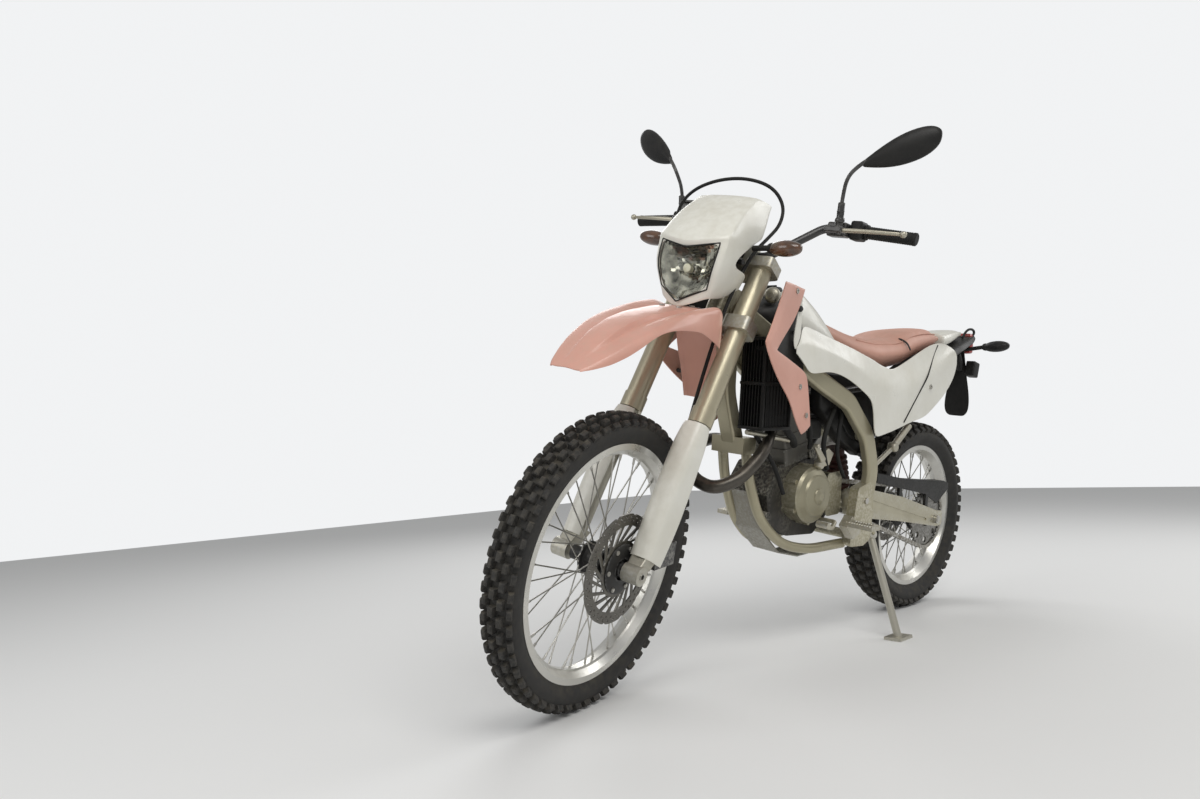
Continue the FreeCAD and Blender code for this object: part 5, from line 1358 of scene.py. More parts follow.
guard_rows = [guard_line(u) for u in GUARD_AT]
guard = grid("fork_guards_shell", guard_rows)
crease(guard, guard_rows, columns=(0, 7), lines=(0, len(guard_rows) - 1), amount=0.8)
crease(guard, guard_rows, columns=(2,), amount=0.35)
skin(guard, wall=3.0, edge=0.8, way=(0.6, 0.8, 0))
guard = both_sides(guard)
dress(guard, STEERED @ STEM, "white_plastic", "steering", ["fork_guards"])

# Shrouds: points across each leg, from the outer edge to the inner one

SHROUD_TRACK = [(800, 152), (915, 160), (1010, 180), (1120, 203)]
SHROUD = [
    # outer x and z, inner x and z
    (1014, 1024, 904, 1015),
    (1024, 1004, 914, 990),
    (1050, 958, 950, 936),
    (1080, 911, 1004, 893),
    (1107, 872, 1046, 854),
    (1092, 846, 1000, 842),
    (1040, 794, 914, 817),
    (996, 760, 872, 800),
    (950, 730, 862, 776),
    (908, 670, 843, 700),
    (878, 640, 836, 662),
]


def shroud_line(outer_x, outer_z, inner_x, inner_z):
    line = []
    for share, lift in ((0, 0), (0.06, 1), (0.3, 3), (0.55, 2.5), (0.8, 1.5), (1, 0)):
        x = outer_x + (inner_x - outer_x) * share
        z = outer_z + (inner_z - outer_z) * share
        line.append(Vector((x, between(SHROUD_TRACK, x)[0] + lift - 2, z)))
    return line


shroud_rows = [shroud_line(*row) for row in SHROUD]
shroud = grid("shroud_left", shroud_rows)
crease(shroud, shroud_rows, columns=(0, 5), lines=(0, len(shroud_rows) - 1), amount=0.8)
crease(shroud, shroud_rows, columns=(2,), lines=(4,), amount=0.55)
skin(shroud, wall=3.4, edge=1.0, way=(0, 1, 0))
shroud = both_sides(shroud)
shroud.name = "shroud_skins"
dress(shroud, MACHINE, "pink_plastic", "chassis", ["shrouds"])
stays = [
    bar("stay", (1010, -18, 780), (1010, -176, 790), 6),
    bar("stay", (912, 86, 965), (912, 156, 965), 8),
    bar("stay", (912, -86, 965), (912, -156, 965), 8),
    bar("stay", (905, 108, 765), (905, 156, 765), 8),
]
stays = joined("shroud_stays", stays)
dress(stays, MACHINE, "black_plastic", "chassis")
shroud_spots = [
    (Vector((x, side * (between(SHROUD_TRACK, x)[0] + 0.5), z)), (-0.15, side, 0))
    for side in (1, -1)
    for x, z in ((955, 1006), (905, 765), (866, 690))
]
bolts("shroud_bolts", shroud_spots, radius=7, high=3)

# Side panels: top edge, bottom edge and the fold between, with the skin's offset from the middle

PANEL = [
    # x, y and z of three points from the top to the bottom of the lofted skin
    (-80, 92, 925, 104, 900, 106, 850),
    (40, 110, 900, 126, 860, 120, 790),
    (200, 126, 860, 142, 800, 134, 710),
    (331, 134, 830, 152, 760, 146, 640),
    (440, 134, 830, 154, 760, 150, 620),
    (530, 136, 850, 152, 780, 150, 600),
    (640, 128, 880, 148, 830, 148, 740),
    (741, 118, 910, 146, 860, 146, 780),
    (845, 112, 940, 150, 880, 152, 790),
]
PANEL_EDGES = [
    # x, top z, bottom z
    (-76, 903, 872),
    (-62, 915, 860),
    (-40, 916, 848),
    (40, 897, 806),
    (120, 874, 768),
    (200, 855, 724),
    (260, 836, 690),
    (331, 822, 657),
    (400, 817, 640),
    (470, 832, 625),
    (508, 845, 617),
    (518, 848, 722),
    (560, 859, 746),
    (620, 876, 775),
    (680, 890, 797),
    (741, 904, 808),
    (800, 918, 803),
    (846, 927, 798),
    (866, 914, 814),
    (892, 888, 836),
    (914, 865, 851),
]


def panel_y(x, z):
    top_y, top_z, mid_y, mid_z, low_y, low_z = between(PANEL, x)
    return between([(top_z, top_y), (mid_z, mid_y), (low_z, low_y)], z)[0]


def panel_line(x, top, low):
    fold = min(max(between(PANEL, x)[3], low + (top - low) * 0.3), top - (top - low) * 0.25)
    above = [top, top - (top - fold) * 0.12, (top + fold) / 2]
    heights = above + [fold, (fold + low) / 2, low + (fold - low) * 0.1, low]
    return [Vector((x, panel_y(x, z), z)) for z in heights]


# The left panel swells low at the rear; the right one stays above the muffler
FULL_EDGES = [
    (-78, 874, 852),
    (-72, 886, 832),
    (-57, 899, 806),
    (-28, 909, 780),
    (8, 915, 755),
    (56, 918, 728),
    (116, 912, 700),
    (169, 900, 676),
    (230, 880, 667),
    (292, 857, 659),
    (340, 840, 649),
    (380, 827, 641),
    (413, 820, 634),
]


def panel_skin(name, edges):
    rows = [panel_line(*row) for row in edges]
    piece = grid(name, rows)
    crease(piece, rows, columns=(0, 6), lines=(0, len(rows) - 1), amount=0.85)
    crease(piece, rows, columns=(3,), amount=0.25)
    return skin(piece, wall=2.8, edge=1.0, way=(0, 1, 0))


left_edges = FULL_EDGES + [row for row in PANEL_EDGES if row[0] > FULL_EDGES[-1][0]]
left_panel = panel_skin("side_panel_left", left_edges)
right_half = panel_skin("side_panel_right", PANEL_EDGES)
right_panel = mirrored(right_half, "side_panel_right")
bpy.data.objects.remove(right_half)
panel = joined("side_panel_skins", [left_panel, right_panel])
dress(panel, MACHINE, "white_plastic", "chassis", ["side_panels"])
panel_bars = []
for x, z, start in ((215, 836, 92), (650, 862, 60)):
    for side in (1, -1):
        panel_bars.append(bar("boss", (x, side * start, z), (x, side * (panel_y(x, z) - 2.5), z), 8))
panel_bosses = joined("side_panel_bosses", panel_bars)
dress(panel_bosses, MACHINE, "white_plastic", "chassis")
panel_spots = [((154, side * (panel_y(154, 772) + 0.3), 772), (0, side, 0.1)) for side in (1, -1)]
bolts("side_panel_bolts", panel_spots, radius=8, high=3.5)


def seam_points(start, end, side, steps=12):
    """Points along a side panel's surface from one (x, z) to another."""
    line = []
    for i in range(steps + 1):
        x = start[0] + (end[0] - start[0]) * i / steps
        z = start[1] + (end[1] - start[1]) * i / steps
        line.append(Vector((x, side * (panel_y(x, z) + 0.2), z)))
    return line


SEAM_ENDS = [(1, (86, 909), (334, 662)), (-1, (62, 886), (226, 716))]
seams = [cable("seam", seam_points(top, low, side), 2.3) for side, top, low in SEAM_ENDS]
seams = joined("side_panel_seams", seams)
dress(seams, MACHINE, "black_plastic", "chassis")

# Tank, tail and rear mudguard


def hull_ring(x, low, high, w_low, w_mid, w_top, crown=3.0):
    """One section of a closed body: bottom, belly, shoulder and a slightly crowned top."""
    mid = low + (high - low) * 0.55
    half = [
        (0, low),
        (w_low * 0.7, low),
        (w_low, low + 5),
        ((w_low + w_mid) / 2 + 2, (low + mid) / 2),
        (w_mid, mid),
        ((w_mid + w_top) / 2 + 3, (mid + high) / 2 + 4),
        (w_top + 1, high - 6),
        (w_top * 0.86, high),
        (w_top * 0.4, high + crown * 0.8),
        (0, high + crown),
    ]
    return [Vector((x, y, z)) for y, z in half] + [Vector((x, -y, z)) for y, z in half[-2:0:-1]]


def hull_rings(table, places, crown=3.0):
    """Sections of a closed body at places along its table."""
    return [hull_ring(x, *between(table, x), crown=crown) for x in places]


TANK = [
    # x, low, high, half widths at the bottom, belly and top
    (572, 846, 872, 58, 74, 66),
    (618, 818, 900, 60, 84, 70),
    (660, 804, 936, 64, 90, 71),
    (720, 800, 982, 66, 93, 69),
    (790, 812, 1024, 70, 92, 66),
    (830, 830, 1024, 70, 90, 68),
    (880, 880, 1004, 62, 82, 62),
    (926, 905, 978, 44, 60, 40),
    (960, 925, 966, 30, 44, 28),
]
TANK_AT = [572, 576, 596, 618, 660, 690, 720, 756, 790, 812, 830, 880, 926, 956, 960]
tank = hull("fuel_tank_shell", hull_rings(TANK, TANK_AT[:12]), columns=(6, 12), amount=0.55)
dress(tank, MACHINE, "white_plastic", "chassis", ["fuel_tank"])
tank_nose = hull("tank_nose", hull_rings(TANK, (868, *TANK_AT[11:])), columns=(6, 12), amount=0.55)
dress(tank_nose, MACHINE, "tank_black", "chassis")
filler = turned_piece(
    "filler_cap",
    [(0, -20), (40, -20), (40, 0), (38, 3), (35, 4), (34, 8), (31, 11), (12, 12), (11, 8), (0, 8)],
    (846, 0, 1020),
    "Z",
    48,
)
smooth(filler, 30)
rib = bevelled_box("cap_rib", (5, 46, 7), (846, 0, 1033), 1.6)
filler = joined("filler_cap", [filler, rib])
dress(filler, MACHINE, "black_plastic", "chassis")

TAIL = [
    (-36, 904, 954, 72, 77, 60),
    (-110, 918, 966, 62, 70, 55),
    (-190, 940, 974, 44, 54, 41),
    (-248, 952, 974, 27, 37, 25),
]
TAIL_AT = [-36, -40, -70, -110, -150, -190, -225, -244, -248]
tail = hull("tail_cowl_shell", hull_rings(TAIL, TAIL_AT, crown=1.5), columns=(6, 12), amount=0.6)
dress(tail, MACHINE, "white_plastic", "chassis", ["tail_cowl"])

MUDGUARD = [
    # x, z middle, y and z of the shoulder, y and z of the edge
    (-352, 968, 30, 966, 42, 952),
    (-300, 958, 46, 954, 62, 936),
    (-200, 934, 60, 930, 78, 908),
    (-60, 889, 68, 884, 84, 856),
    (100, 812, 66, 806, 84, 782),
]


def mudguard_line(x):
    middle, shoulder_y, shoulder_z, edge_y, edge_z = between(MUDGUARD, x)
    half = [
        (0, middle),
        (shoulder_y * 0.55, (middle + shoulder_z) / 2),
        (shoulder_y, shoulder_z),
        ((shoulder_y + edge_y) / 2 + 2, (shoulder_z + edge_z) / 2 + 3),
        (edge_y, edge_z),
    ]
    return [Vector((x, y, z)) for y, z in reversed(half)] + [Vector((x, -y, z)) for y, z in half[1:]]


mudguard_rows = [mudguard_line(x) for x in (-352, -344, -300, -250, -200, -130, -60, 20, 92, 100)]
mudguard = grid("rear_mudguard_shell", mudguard_rows)
crease(mudguard, mudguard_rows, columns=(0, 8), lines=(0, 9), amount=0.8)
skin(mudguard, wall=3.0, edge=0.8)
post = bar("mudguard_post", (-110, 0, 898), (-110, 0, 929), 9)
mudguard = joined("rear_mudguard_shell", [mudguard, post])
dress(mudguard, MACHINE, "black_plastic", "chassis", ["rear_mudguard"])

# Seat: a foam block under pressure in its cover, with a strap across it

SEAT = [
    # x, low, high, half widths at the bottom, belly and top
    (-26, 927, 948, 60, 68, 54),
    (60, 900, 958, 82, 95, 76),
    (200, 863, 944, 90, 115, 90),
    (262, 843, 930, 92, 121, 94),
    (304, 835, 910, 94, 122, 94),
    (440, 820, 901, 92, 121, 85),
    (540, 834, 914, 84, 106, 72),
    (640, 884, 946, 60, 74, 48),
    (712, 954, 984, 44, 50, 28),
]
SEAT_AT = [-26, -20, 20, 60, 130, 200, 240, 262, 284, 304, 350, 400, 440, 490, 540, 590, 640, 680, 706, 712]
SWELL_CAP = 5.0


def swell(piece, pressure=4.0, steps=20):
    """Blows the cover out by cloth simulation and holds each point to the cap."""
    start = [v.co.copy() for v in piece.data.vertices]
    choose(piece)
    cloth = piece.modifiers.new("cover", "CLOTH")
    cloth.settings.use_pressure = True
    cloth.settings.uniform_pressure_force = pressure
    cloth.settings.effector_weights.gravity = 0.0
    cloth.settings.quality = 5
    scene = bpy.context.scene
    for step in range(1, steps + 1):
        scene.frame_set(step)
    bpy.ops.object.modifier_apply(modifier="cover")
    scene.frame_set(1)
    for vert, before in zip(piece.data.vertices, start):
        moved = vert.co - before
        if moved.length > SWELL_CAP * MM:
            vert.co = before + moved.normalized() * SWELL_CAP * MM


seat = hull("seat_cover", hull_rings(SEAT, SEAT_AT, crown=5.0), levels=2, columns=(7, 11), amount=0.2)
settle(seat, MACHINE)
choose(seat)
fine = seat.modifiers.new("even", "REMESH")
fine.mode = "VOXEL"
fine.voxel_size = 0.006
keep_modifiers(seat)
swell(seat)
soften = seat.modifiers.new("soften", "SMOOTH")
soften.iterations = 3
soften.factor = 0.5
finer = seat.modifiers.new("finer", "SUBSURF")
finer.levels = 1
finer.render_levels = 1
keep_modifiers(seat)
smooth(seat, 60)
wear(seat, "seat_pink", "chassis", ["seat"])


def seat_across(x, grow, start=4, end=14):
    """Points over the seat at a station, from one side of its bottom to the other."""
    ring = hull_ring(x, *between(SEAT, x), crown=5.0)
    middle = Vector((x, 0, between(SEAT, x)[0] + 30))
    return [middle + (p - middle) * grow for p in ring[start:end + 1]]


def band_over(name, x, wide, grow, wall):
    """A flat band over the seat, following its section."""
    across = [seat_across(at, grow) for at in (x - wide / 2, x - wide / 6, x + wide / 6, x + wide / 2)]
    band = grid(name, across)
    crease(band, across, columns=(0, len(across[0]) - 1), lines=(0, 3), amount=0.9)
    return skin(band, wall=wall, edge=0.6, levels=2)


strap = band_over("seat_strap", 283, 7, 1.04, 1.6)
dress(strap, MACHINE, "black_rubber", "chassis")
piping = []
for side in (1, -1):
    run_along = []
    for x in (30, 100, 180, 250, 310, 380, 450, 520):
        low, high, w_low, w_mid, w_top = between(SEAT, x)
        run_along.append(Vector((x, side * (w_top + 5), high - 7)))
    piping.append(cable("piping", run_along, 1.6))
piping = joined("seat_piping", piping)
dress(piping, MACHINE, "seat_pink", "chassis")

# Lamps and signals

PAD = [
    # share along the pod, half depth, half height
    (0.00, 7, 7),
    (0.06, 14, 12),
    (0.20, 21, 18),
    (0.45, 26, 21),
    (0.70, 24, 20),
    (0.90, 17, 14),
    (1.00, 9, 8),
]


def signal_pod(name, root, way):
    rings = []
    for share, deep, high in PAD:
        centre = Vector(root) + Vector(way) * share
        ring = [(math.cos(math.tau * k / 12), math.sin(math.tau * k / 12)) for k in range(12)]
        rings.append([centre + Vector((deep * c, 0, high * s)) for c, s in ring])
    return hull(name, rings, levels=2, lines=(1,), amount=0.6)


def signals(
    prefix, root, way, stalk_from, stalk_to, place, body, replaced, base_slot, lens_slot="amber_lens"
):
    """A signal on each side: its pod, and its stalk with a collar."""
    pods = both_sides(signal_pod(prefix + "_pods", root, way))
    dress(pods, place, lens_slot, body, [replaced])
    start = Vector(stalk_from)
    end = Vector(stalk_to)
    stalk = bar("stalk", start, end, 7)
    long = Vector(way).normalized()
    collar = turned_piece(
        "collar", [(0, 0), (9, 0), (12, 4), (13.5, 10), (12, 12), (0, 12)], Vector(root) - long * 6, long, 28
    )
    smooth(collar)
    stalks = both_sides(joined(prefix + "_stalks", [stalk, collar]))
    dress(stalks, place, base_slot, body)


signals(
    "front_signal", (1114, 146, 1115), (4.6, 82, 4.6), (1110, 98, 1112), (1114, 150, 1116),
    STEERED, "steering", "front_signals", "black_rubber",
)
signals(
    "rear_signal", (-262, 116, 919), (6, 87, 6), (-268, 40, 907), (-262, 120, 920),
    MACHINE, "chassis", "rear_signals", "black_rubber", lens_slot="black_plastic",
)

TAIL_LAMP = [
    # height, front x, rear x, half width
    (894, -320, -352, 38),
    (902, -318, -355, 39),
    (936, -317, -353, 39.5),
    (966, -316, -350, 39),
    (971, -317, -346, 37),
]


def lamp_ring(z, front, rear, half):
    corners = [(front, half), (front, -half), (rear + 6, -half), (rear, -half + 8)]
    corners += [(rear, 0), (rear, half - 8), (rear + 6, half)]
    return [Vector((x, y, z)) for x, y in corners]


tail_lamp = hull("tail_lamp", [lamp_ring(*row) for row in TAIL_LAMP], levels=2, columns=(0, 1), amount=0.8)
dress(tail_lamp, MACHINE, "red_lens", "chassis", ["tail_light"])

# Mirrors: a domed shell with the glass set in its rear face

MIRROR_ROOT = Vector((950, 275, 1350))
MIRROR_TIP = Vector((888, 432, 1410))
MIRROR = [
    # share along, half height, half depth, rise
    (0.00, 8, 7, 0),
    (0.05, 12, 9, 1),
    (0.22, 27, 15, 6),
    (0.50, 43, 20, 12),
    (0.80, 41, 18, 16),
    (0.94, 27, 13, 17),
    (1.00, 12, 7, 18),
]


def mirror_ring(share, high, deep, rise, face=0.0, scale=1.0):
    way = MIRROR_TIP - MIRROR_ROOT
    flat = Vector((way.x, way.y, 0)).normalized()
    normal = flat.cross(Vector((0, 0, 1)))
    centre = MIRROR_ROOT + way * share + Vector((0, 0, rise))
    ring = []
    for k in range(14):
        angle = math.tau * k / 14
        out = math.cos(angle)
        out = out * deep if out > 0 else max(out, -0.42) * deep
        if face:
            out = -0.5 * deep - (face if math.cos(angle) < 0 else 0.6)
        ring.append(centre + normal * out + Vector((0, 0, high * scale * math.sin(angle))))
    return ring


mirror_shell = hull("mirror_shells", [mirror_ring(*row) for row in MIRROR], levels=2)
mirror_shell = both_sides(mirror_shell)
dress(mirror_shell, STEERED, "black_plastic", "steering", ["mirrors"])
glass_rows = [(s, h - 4, 17, r) for s, h, d, r in [(0.14, 20, 0, 4), *MIRROR[2:6]]]
glass = hull("mirror_glass_pair", [mirror_ring(*row, face=2.2) for row in glass_rows], levels=1)
glass = both_sides(glass)
dress(glass, STEERED, None, "steering", material="mirror_glass")
boot_way = Vector((13, 2, 50))
boot = turned_piece(
    "boot",
    [(0, 0), (12, 0), (12.5, 3), (12, 8), (9.5, 10), (9, 24), (10, 26), (9, 28), (8.6, 46), (5, 48), (0, 48)],
    (925, 232, 1212),
    boot_way,
    28,
)
smooth(boot, 50)
MIRROR_NECK = [(930, 232, 1235), (938, 234, 1275), (961, 246, 1316), (956, 270, 1346), (949, 284, 1358)]
arm = cable("arm", MIRROR_NECK, 5)
nut = turned_piece("nut", [(0, 0), (9, 0), (9, 8), (0, 8)], (924, 232, 1206), boot_way, 6)
stalks = both_sides(joined("mirror_stalks", [boot, arm, nut]))
dress(stalks, STEERED, "black_paint", "steering")

# Handlebar ends: ribbed grips, levers with ball ends, perches, switch box and reservoir


def grip_profile(long):
    profile = [(0, 0), (19, 0), (19.5, 2), (19, 5), (15.4, 7)]
    at = 10.0
    while at < long - 14:
        profile += [(15.3, at), (16, at + 1.2), (16, at + 3.4), (15.3, at + 4.6)]
        at += 6.0
    return profile + [(15.6, long - 10), (16.4, long - 8), (16.2, long - 2), (14, long), (0, long)]


grip_in = Vector((866, 284, 1196))
grip_out = Vector((868, 408, 1187))
grip_way = grip_out - grip_in
grip = turned_piece("grips_ribbed", grip_profile(grip_way.length + 4), grip_in, grip_way, 32)
smooth(grip, 35)
grips = both_sides(grip)
dress(grips, STEERED, "black_rubber", "steering", ["grips"])

LEVER = [
    # y, x middle, half depth, half height
    (236, 934, 9, 5.5),
    (262, 936, 10, 5.5),
    (300, 939, 11.5, 5.0),
    (345, 935, 8.5, 4.6),
    (378, 929, 6.5, 4.4),
    (390, 926, 6.0, 4.4),
]


def lever_ring(y, x, deep, high):
    ring = [(1, 0.55), (0.7, 1), (-0.7, 1), (-1, 0.55), (-1, -0.55), (-0.7, -1), (0.7, -1), (1, -0.55)]
    return [Vector((x + deep * a, y, 1190 + high * b)) for a, b in ring]


blade = hull("blade", [lever_ring(*row) for row in LEVER], levels=2)
ball = turned_piece(
    "ball", [(0, 0), (4, 0.6), (7, 3), (8.4, 8), (7, 13), (4, 15.4), (0, 16)], (927, 387, 1190), (0, 1, 0), 24
)
smooth(ball, 60)
levers = both_sides(joined("levers", [blade, ball]))
dress(levers, STEERED, "clamp_silver", "steering")
pivot_pin = bar("pivot", (938, 240, 1180), (938, 240, 1203), 6)
perch = bevelled_box("perch", (42, 50, 36), (893, 222, 1195), 5, 3)
perch_arm = bevelled_box("perch_arm", (50, 46, 16), (925, 226, 1191), 4, 3)
mirror_boss = bar("mirror_boss", (920, 231, 1192), (924, 232, 1213), 11)
perches = both_sides(joined("lever_perches", [perch, perch_arm, pivot_pin, mirror_boss]))
dress(perches, STEERED, "black_paint", "steering", ["hand_controls"])
switch_body = bevelled_box("switch_body", (50, 31, 48), (872, 266, 1197), 6, 3)
keys = [
    bevelled_box("key", (6, 10, 8), (846, 262, 1212), 1.5),
    bevelled_box("key", (6, 14, 6), (846, 266, 1198), 1.5),
    bevelled_box("key", (8, 9, 7), (845, 262, 1184), 2.0),
]
throttle_housing = bevelled_box("throttle_body", (48, 31, 46), (872, -266, 1197), 8, 3)
starter_key = bevelled_box("starter_key", (7, 10, 12), (847, -264, 1204), 2.0)
switches = joined("switch_boxes", [switch_body, *keys, throttle_housing, starter_key])
dress(switches, STEERED, "black_plastic", "steering")
reservoir = bevelled_box("reservoir", (52, 54, 26), (913, -210, 1227), 7, 3)
reservoir_lid = bevelled_box("reservoir_lid", (56, 58, 6), (913, -210, 1243), 2.0, 2)
sight = turned_piece("sight", [(0, 0), (9, 0), (9, 2), (6, 3), (0, 3)], (886.5, -212, 1226), (-1, 0, 0), 24)
banjo = bar("banjo", (930, -226, 1192), (955, -226, 1199.5), 8)
reservoir = joined("brake_reservoir", [reservoir, reservoir_lid, sight, banjo])
dress(reservoir, STEERED, "black_paint", "steering")
lid_spots = [((x, y, 1246), (0, 0, 1)) for x, y in ((896, -196), (930, -224))]
bolts("reservoir_screws", lid_spots, "steering", STEERED, radius=4, high=2)

# Mudguard's tongue between the fork legs

TONGUE = [
    # x, z and half width down the middle
    (1150, 906, 52),
    (1140, 880, 58),
    (1124, 840, 56),
    (1110, 800, 49),
    (1100, 760, 42),
    (1092, 722, 36),
]


TONGUE_SECTION = [(-1, 10), (-0.8, 3), (-0.4, 0), (0.4, 0), (0.8, 3), (1, 10)]


def tongue_line(x, z, half):
    """Points across the tongue: share of its half width, and how far it dips forward there."""
    return [Vector((x + dip, share * half, z)) for share, dip in TONGUE_SECTION]


tongue_rows = [tongue_line(*row) for row in TONGUE]
tongue = grid("fender_tongue", tongue_rows)
crease(tongue, tongue_rows, columns=(0, 1, 4, 5), lines=(0, len(tongue_rows) - 1), amount=0.7)
skin(tongue, wall=3.0, edge=0.8, way=(1, 0, 0))
dress(tongue, STEERED, "pink_plastic", "steering")

# Radiator guard: a box of upright slats in front of and beside the core

SLAT_LOW = 652
SLAT_HIGH = 884
middle_z = (SLAT_LOW + SLAT_HIGH) / 2
slat_high = SLAT_HIGH - SLAT_LOW
slat_middle = (0, 0, middle_z)
front_slat = bevelled_box("slat", (13, 2.4, slat_high), slat_middle, 0.8, 1, Matrix.Rotation(0.5, 4, "Z"))
front_slats = copies(front_slat, [Matrix.Translation((992, 50 + i * 9.5, 0)) for i in range(7)])
side_slat = bevelled_box("slat", (2.4, 13, slat_high), slat_middle, 0.8, 1, Matrix.Rotation(0.6, 4, "Z"))
side_slats = copies(side_slat, [Matrix.Translation((884 + i * 13, 110, 0)) for i in range(8)])
rail_heights = (SLAT_LOW, middle_z, SLAT_HIGH)
rails = [bevelled_box("rail", (124, 82, 9), (937, 79, z), 2.5, 2) for z in rail_heights]
post_spots = ((994, 44), (994, 114), (880, 114))
posts = [bevelled_box("post", (8, 8, slat_high), (x, y, middle_z), 2, 2) for x, y in post_spots]
back_plate = bevelled_box("plate", (100, 3, slat_high), (936, 102, middle_z), 1, 1)
front_plate = bevelled_box("plate", (3, 82, slat_high), (984, 77, middle_z), 1, 1)
guard_pieces = [front_slats, side_slats, *rails, *posts, back_plate, front_plate]
radiator_guard = joined("radiator_guard", guard_pieces)
smooth(radiator_guard, 30)
dress(radiator_guard, MACHINE, "radiator_black", "chassis")

# Dark sheet behind the shroud's notch: it stands in for the dark wiring and hoses there, and is partly
# painted shade for the shadow in that gap

WIRING_AND_SHADE_SHEET = [
    # x and z of the front edge and of the rear edge
    (986, 1008, 900, 1004),
    (1010, 968, 872, 960),
    (1040, 912, 858, 905),
    (1034, 860, 846, 850),
    (960, 806, 842, 800),
]


def wiring_and_shade_sheet_line(front_x, front_z, rear_x, rear_z):
    """Points from the front edge to the rear one, each a little further in behind the shroud."""
    line = []
    for t in (0, 0.35, 0.7, 1):
        x = front_x + (rear_x - front_x) * t
        y = between(SHROUD_TRACK, x)[0] - 22 - 8 * t
        line.append(Vector((x, y, front_z + (rear_z - front_z) * t)))
    return line


wiring_and_shade_sheet_rows = [wiring_and_shade_sheet_line(*row) for row in WIRING_AND_SHADE_SHEET]
wiring_and_shade_sheet = grid("shroud_wiring_and_shade_sheet", wiring_and_shade_sheet_rows)
crease(wiring_and_shade_sheet, wiring_and_shade_sheet_rows, columns=(0, 3), lines=(0, len(wiring_and_shade_sheet_rows) - 1), amount=0.9)
skin(wiring_and_shade_sheet, wall=3, edge=0.8, way=(0, 1, 0))
wiring_and_shade_sheet = both_sides(wiring_and_shade_sheet)
dress(wiring_and_shade_sheet, MACHINE, "black_plastic", "chassis")

# Plate bracket with its round-ended mud flap, and the small box beside it

PLATE_BRACKET = [
    # x, z and half width, from the tail down
    (-286, 956, 27),
    (-310, 900, 24),
    (-330, 850, 24),
    (-330, 810, 30),
    (-330, 760, 41),
    (-330, 710, 47),
    (-330, 676, 43),
    (-330, 662, 28),
]


def flap_line(x, z, half):
    return [Vector((x - 4 * (1 - y * y), y * half, z)) for y in (-1, -0.6, 0, 0.6, 1)]


flap_rows = [flap_line(*row) for row in PLATE_BRACKET]
flap = grid("plate_flap", flap_rows)
crease(flap, flap_rows, columns=(0, 4), lines=(0,), amount=0.8)
skin(flap, wall=4.5, edge=1.2, way=(-1, 0, 0))
hanger_tilt = Matrix.Rotation(math.radians(-58), 4, "Y")
hanger = bevelled_box("hanger", (70, 44, 20), (-300, 0, 862), 6, 3, hanger_tilt)
smooth(hanger, 40)
stop_tilt = Matrix.Rotation(math.radians(-12), 4, "Y")
stop_box = bevelled_box("stop_box", (44, 34, 56), (-342, 42, 838), 5, 3, stop_tilt)
smooth(stop_box, 40)
plate = joined("plate_bracket_shell", [flap, hanger, stop_box])
dress(plate, MACHINE, "black_plastic", "chassis", ["plate_bracket"])

# Narrow side strip of the tank in the shroud's notch

STRIP = [
    # rear and front x, z
    (898, 906, 1002),
    (894, 914, 950),
    (893, 923, 900),
    (904, 924, 876),
    (913, 917, 862),
]
strip_rows = [
    [Vector((rear + (front - rear) * t, 146 + 3 * math.sin(math.pi * t), z)) for t in (0, 0.5, 1)]
    for rear, front, z in STRIP
]
strip = grid("tank_side_strip", strip_rows)
crease(strip, strip_rows, columns=(0, 2), lines=(0, len(strip_rows) - 1), amount=0.8)
skin(strip, wall=3, edge=0.8, way=(0, 1, 0))
strip_bars = [bar("strip_boss", (900, 90, z), (905, 147, z), 5) for z in (972, 905)]
strip = joined("tank_side_strip", [strip, *strip_bars])
strip = both_sides(strip)
dress(strip, MACHINE, "white_plastic", "chassis")

# Lower half of the air box, hoses and the clutch arm beside the engine


def plate_block(name, outline, y, thick, width):
    piece = prism(name, outline, y, thick)
    round_edges(piece, width, 3, 40)
    keep_modifiers(piece)
    smooth(piece, 40)
    return piece


BOX_SIDE = [(700, 806), (398, 800), (392, 640), (410, 566), (470, 556), (570, 600), (690, 700)]
battery_box = plate_block("air_box_lower", BOX_SIDE, 66, 40, 9)
BOX_LID = [(600, 745), (462, 730), (436, 632), (470, 590), (550, 622), (600, 670)]
box_lid = plate_block("lid", BOX_LID, 89, 8, 3)
intake = [
    bar("throat", (775, 0, 690), (640, 0, 716), 31),
    bar("clamp", (742, 0, 696), (730, 0, 699), 35),
    bar("clamp", (676, 0, 709), (664, 0, 711), 35),
    bevelled_box("regulator", (70, 90, 60), (664, 10, 640), 8, 2),
    bevelled_box("starter", (110, 70, 56), (742, -4, 600), 16, 3),
]
battery_box = joined("air_box_lower", [battery_box, box_lid, *intake])
dress(battery_box, MACHINE, "black_plastic", "chassis")

ENGINE_HOSES = [
    # radius, then the points it runs through
    (10, (905, 100, 690), (880, 104, 650), (830, 98, 620), (790, 72, 600)),
    (7, (640, 96, 700), (690, 104, 640), (700, 106, 580), (660, 98, 530)),
    (6, (600, 98, 690), (640, 110, 600), (610, 104, 540), (560, 92, 500)),
    (6, (860, 96, 760), (800, 108, 700), (760, 106, 640), (740, 90, 590)),
    (6, (980, 60, 660), (930, 74, 600), (880, 84, 540), (850, 90, 470)),
]
engine_hoses = joined("engine_hoses", [cable("hose", way, radius) for radius, *way in ENGINE_HOSES])
dress(engine_hoses, MACHINE, "black_rubber", "chassis")

coolant_pipe = bar("coolant_pipe", (990, 62, 640), (835, 88, 616), 7)
dress(coolant_pipe, MACHINE, "clamp_silver", "chassis")

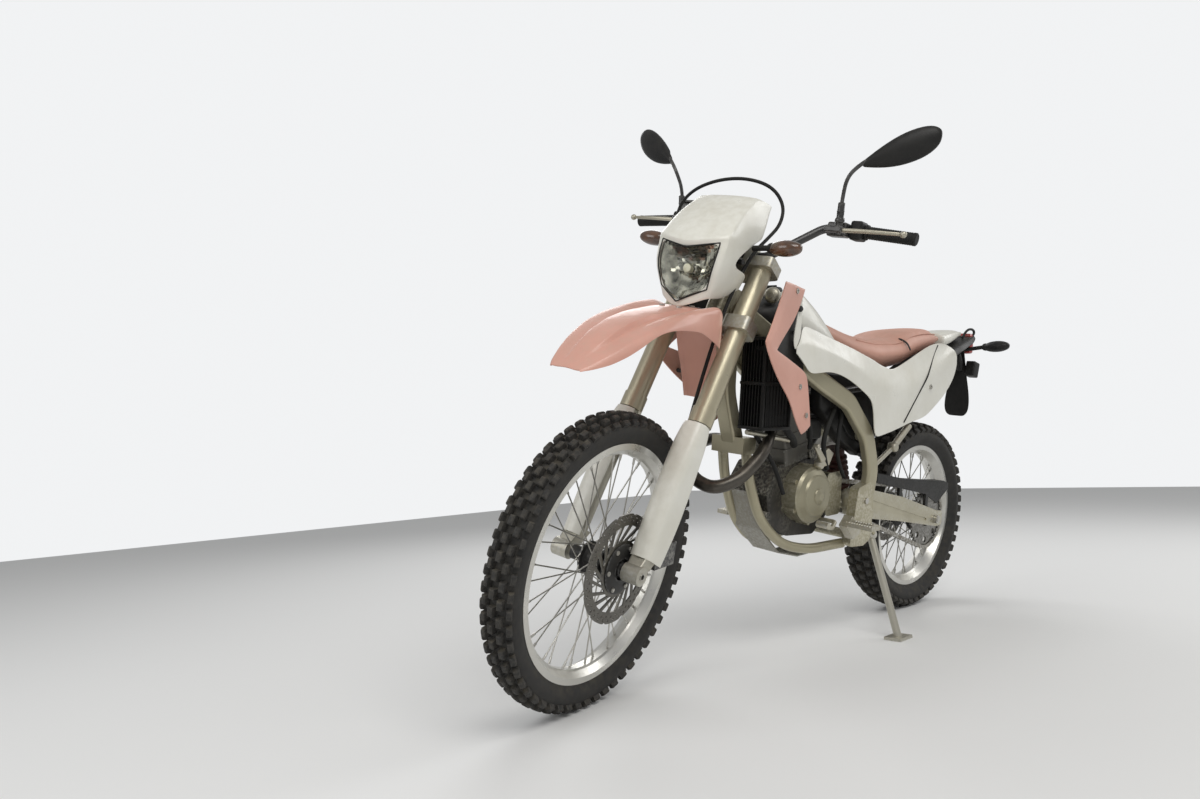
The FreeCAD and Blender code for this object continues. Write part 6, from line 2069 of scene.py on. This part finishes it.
CLUTCH_LEVER = [(700, 556), (716, 552), (752, 596), (748, 606), (738, 604), (696, 562)]
CLUTCH_FOOT = [(640, 575), (668, 590), (712, 560), (704, 536), (660, 540)]
arm = [
    turned_piece("arm", [(0, 0), (13, 0), (14, 3), (14, 16), (11, 20), (0, 20)], (705, 92, 545), "Y", 28),
    plate_block("arm", CLUTCH_LEVER, 114, 6, 1.5),
    plate_block("arm", CLUTCH_FOOT, 100, 12, 3),
    bar("arm", (745, 108, 600), (745, 124, 600), 6),
]
arm = joined("clutch_arm", arm)
smooth(arm, 40)
dress(arm, MACHINE, "clamp_silver", "chassis")

HORN_SHELL = [(0, 0), (20, 0), (22, 4), (21, 10), (14, 16), (0, 18)]
HORN_WAY = (0.95, 0.3, 0)
horn = [
    turned_piece("horn", HORN_SHELL, (908, 60, 1002), HORN_WAY, 36),
    turned_piece("horn", [(0, 0), (8, 0), (9, 8), (0, 10)], (924, 65, 1002), HORN_WAY, 24),
    bar("horn", (908, 60, 1002), (880, 36, 985), 5),
]
horn = joined("horn", horn)
smooth(horn, 40)
dress(horn, MACHINE, "clamp_silver", "chassis")

# Pillion peg brackets: a rod with a knuckle on the left, a bent rod clear of the muffler on the right

KNUCKLE = [(0, -12), (13, -12), (15, -8), (15, 8), (13, 12), (0, 12)]
left_rod = [
    bar("rod", (474, 112, 506), (352, 127, 584), 7.5),
    bar("rod", (352, 127, 584), (262, 127, 650), 10.5),
    turned_piece("rod", KNUCKLE, (352, 127, 584), "Y", 28),
]
right_rod = cable("rod", [(482, -112, 492), (400, -128, 530), (330, -136, 496), (218, -130, 536)], 8)
pillion = joined("pillion_rods", [*left_rod, right_rod])
smooth(pillion, 40)
dress(pillion, MACHINE, "clamp_silver", "chassis", ["pillion_brackets"])

# Dark hook under the tail

TAIL_HOOK = [(-262, 34, 950), (-276, 36, 972), (-305, 38, 986)]
TAIL_HOOK += [(-340, 38, 984), (-352, 36, 968), (-330, 34, 955)]
tail_hook = cable("tail_hook", TAIL_HOOK, 4.5)
dress(tail_hook, MACHINE, "black_rubber", "chassis")

# Floor

bpy.ops.mesh.primitive_plane_add(size=14, location=(0, 0, 0))
floor = named("studio_floor")
floor_paint = bpy.data.materials.new("studio_floor")
floor_paint.use_nodes = True
floor_tree = floor_paint.node_tree
floor_shader = floor_tree.nodes["Principled BSDF"]
floor_shader.inputs["Base Color"].default_value = (0.82, 0.82, 0.81, 1)
floor_shader.inputs["Roughness"].default_value = 0.9
floor.data.materials.append(floor_paint)
floor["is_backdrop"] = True

low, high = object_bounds()
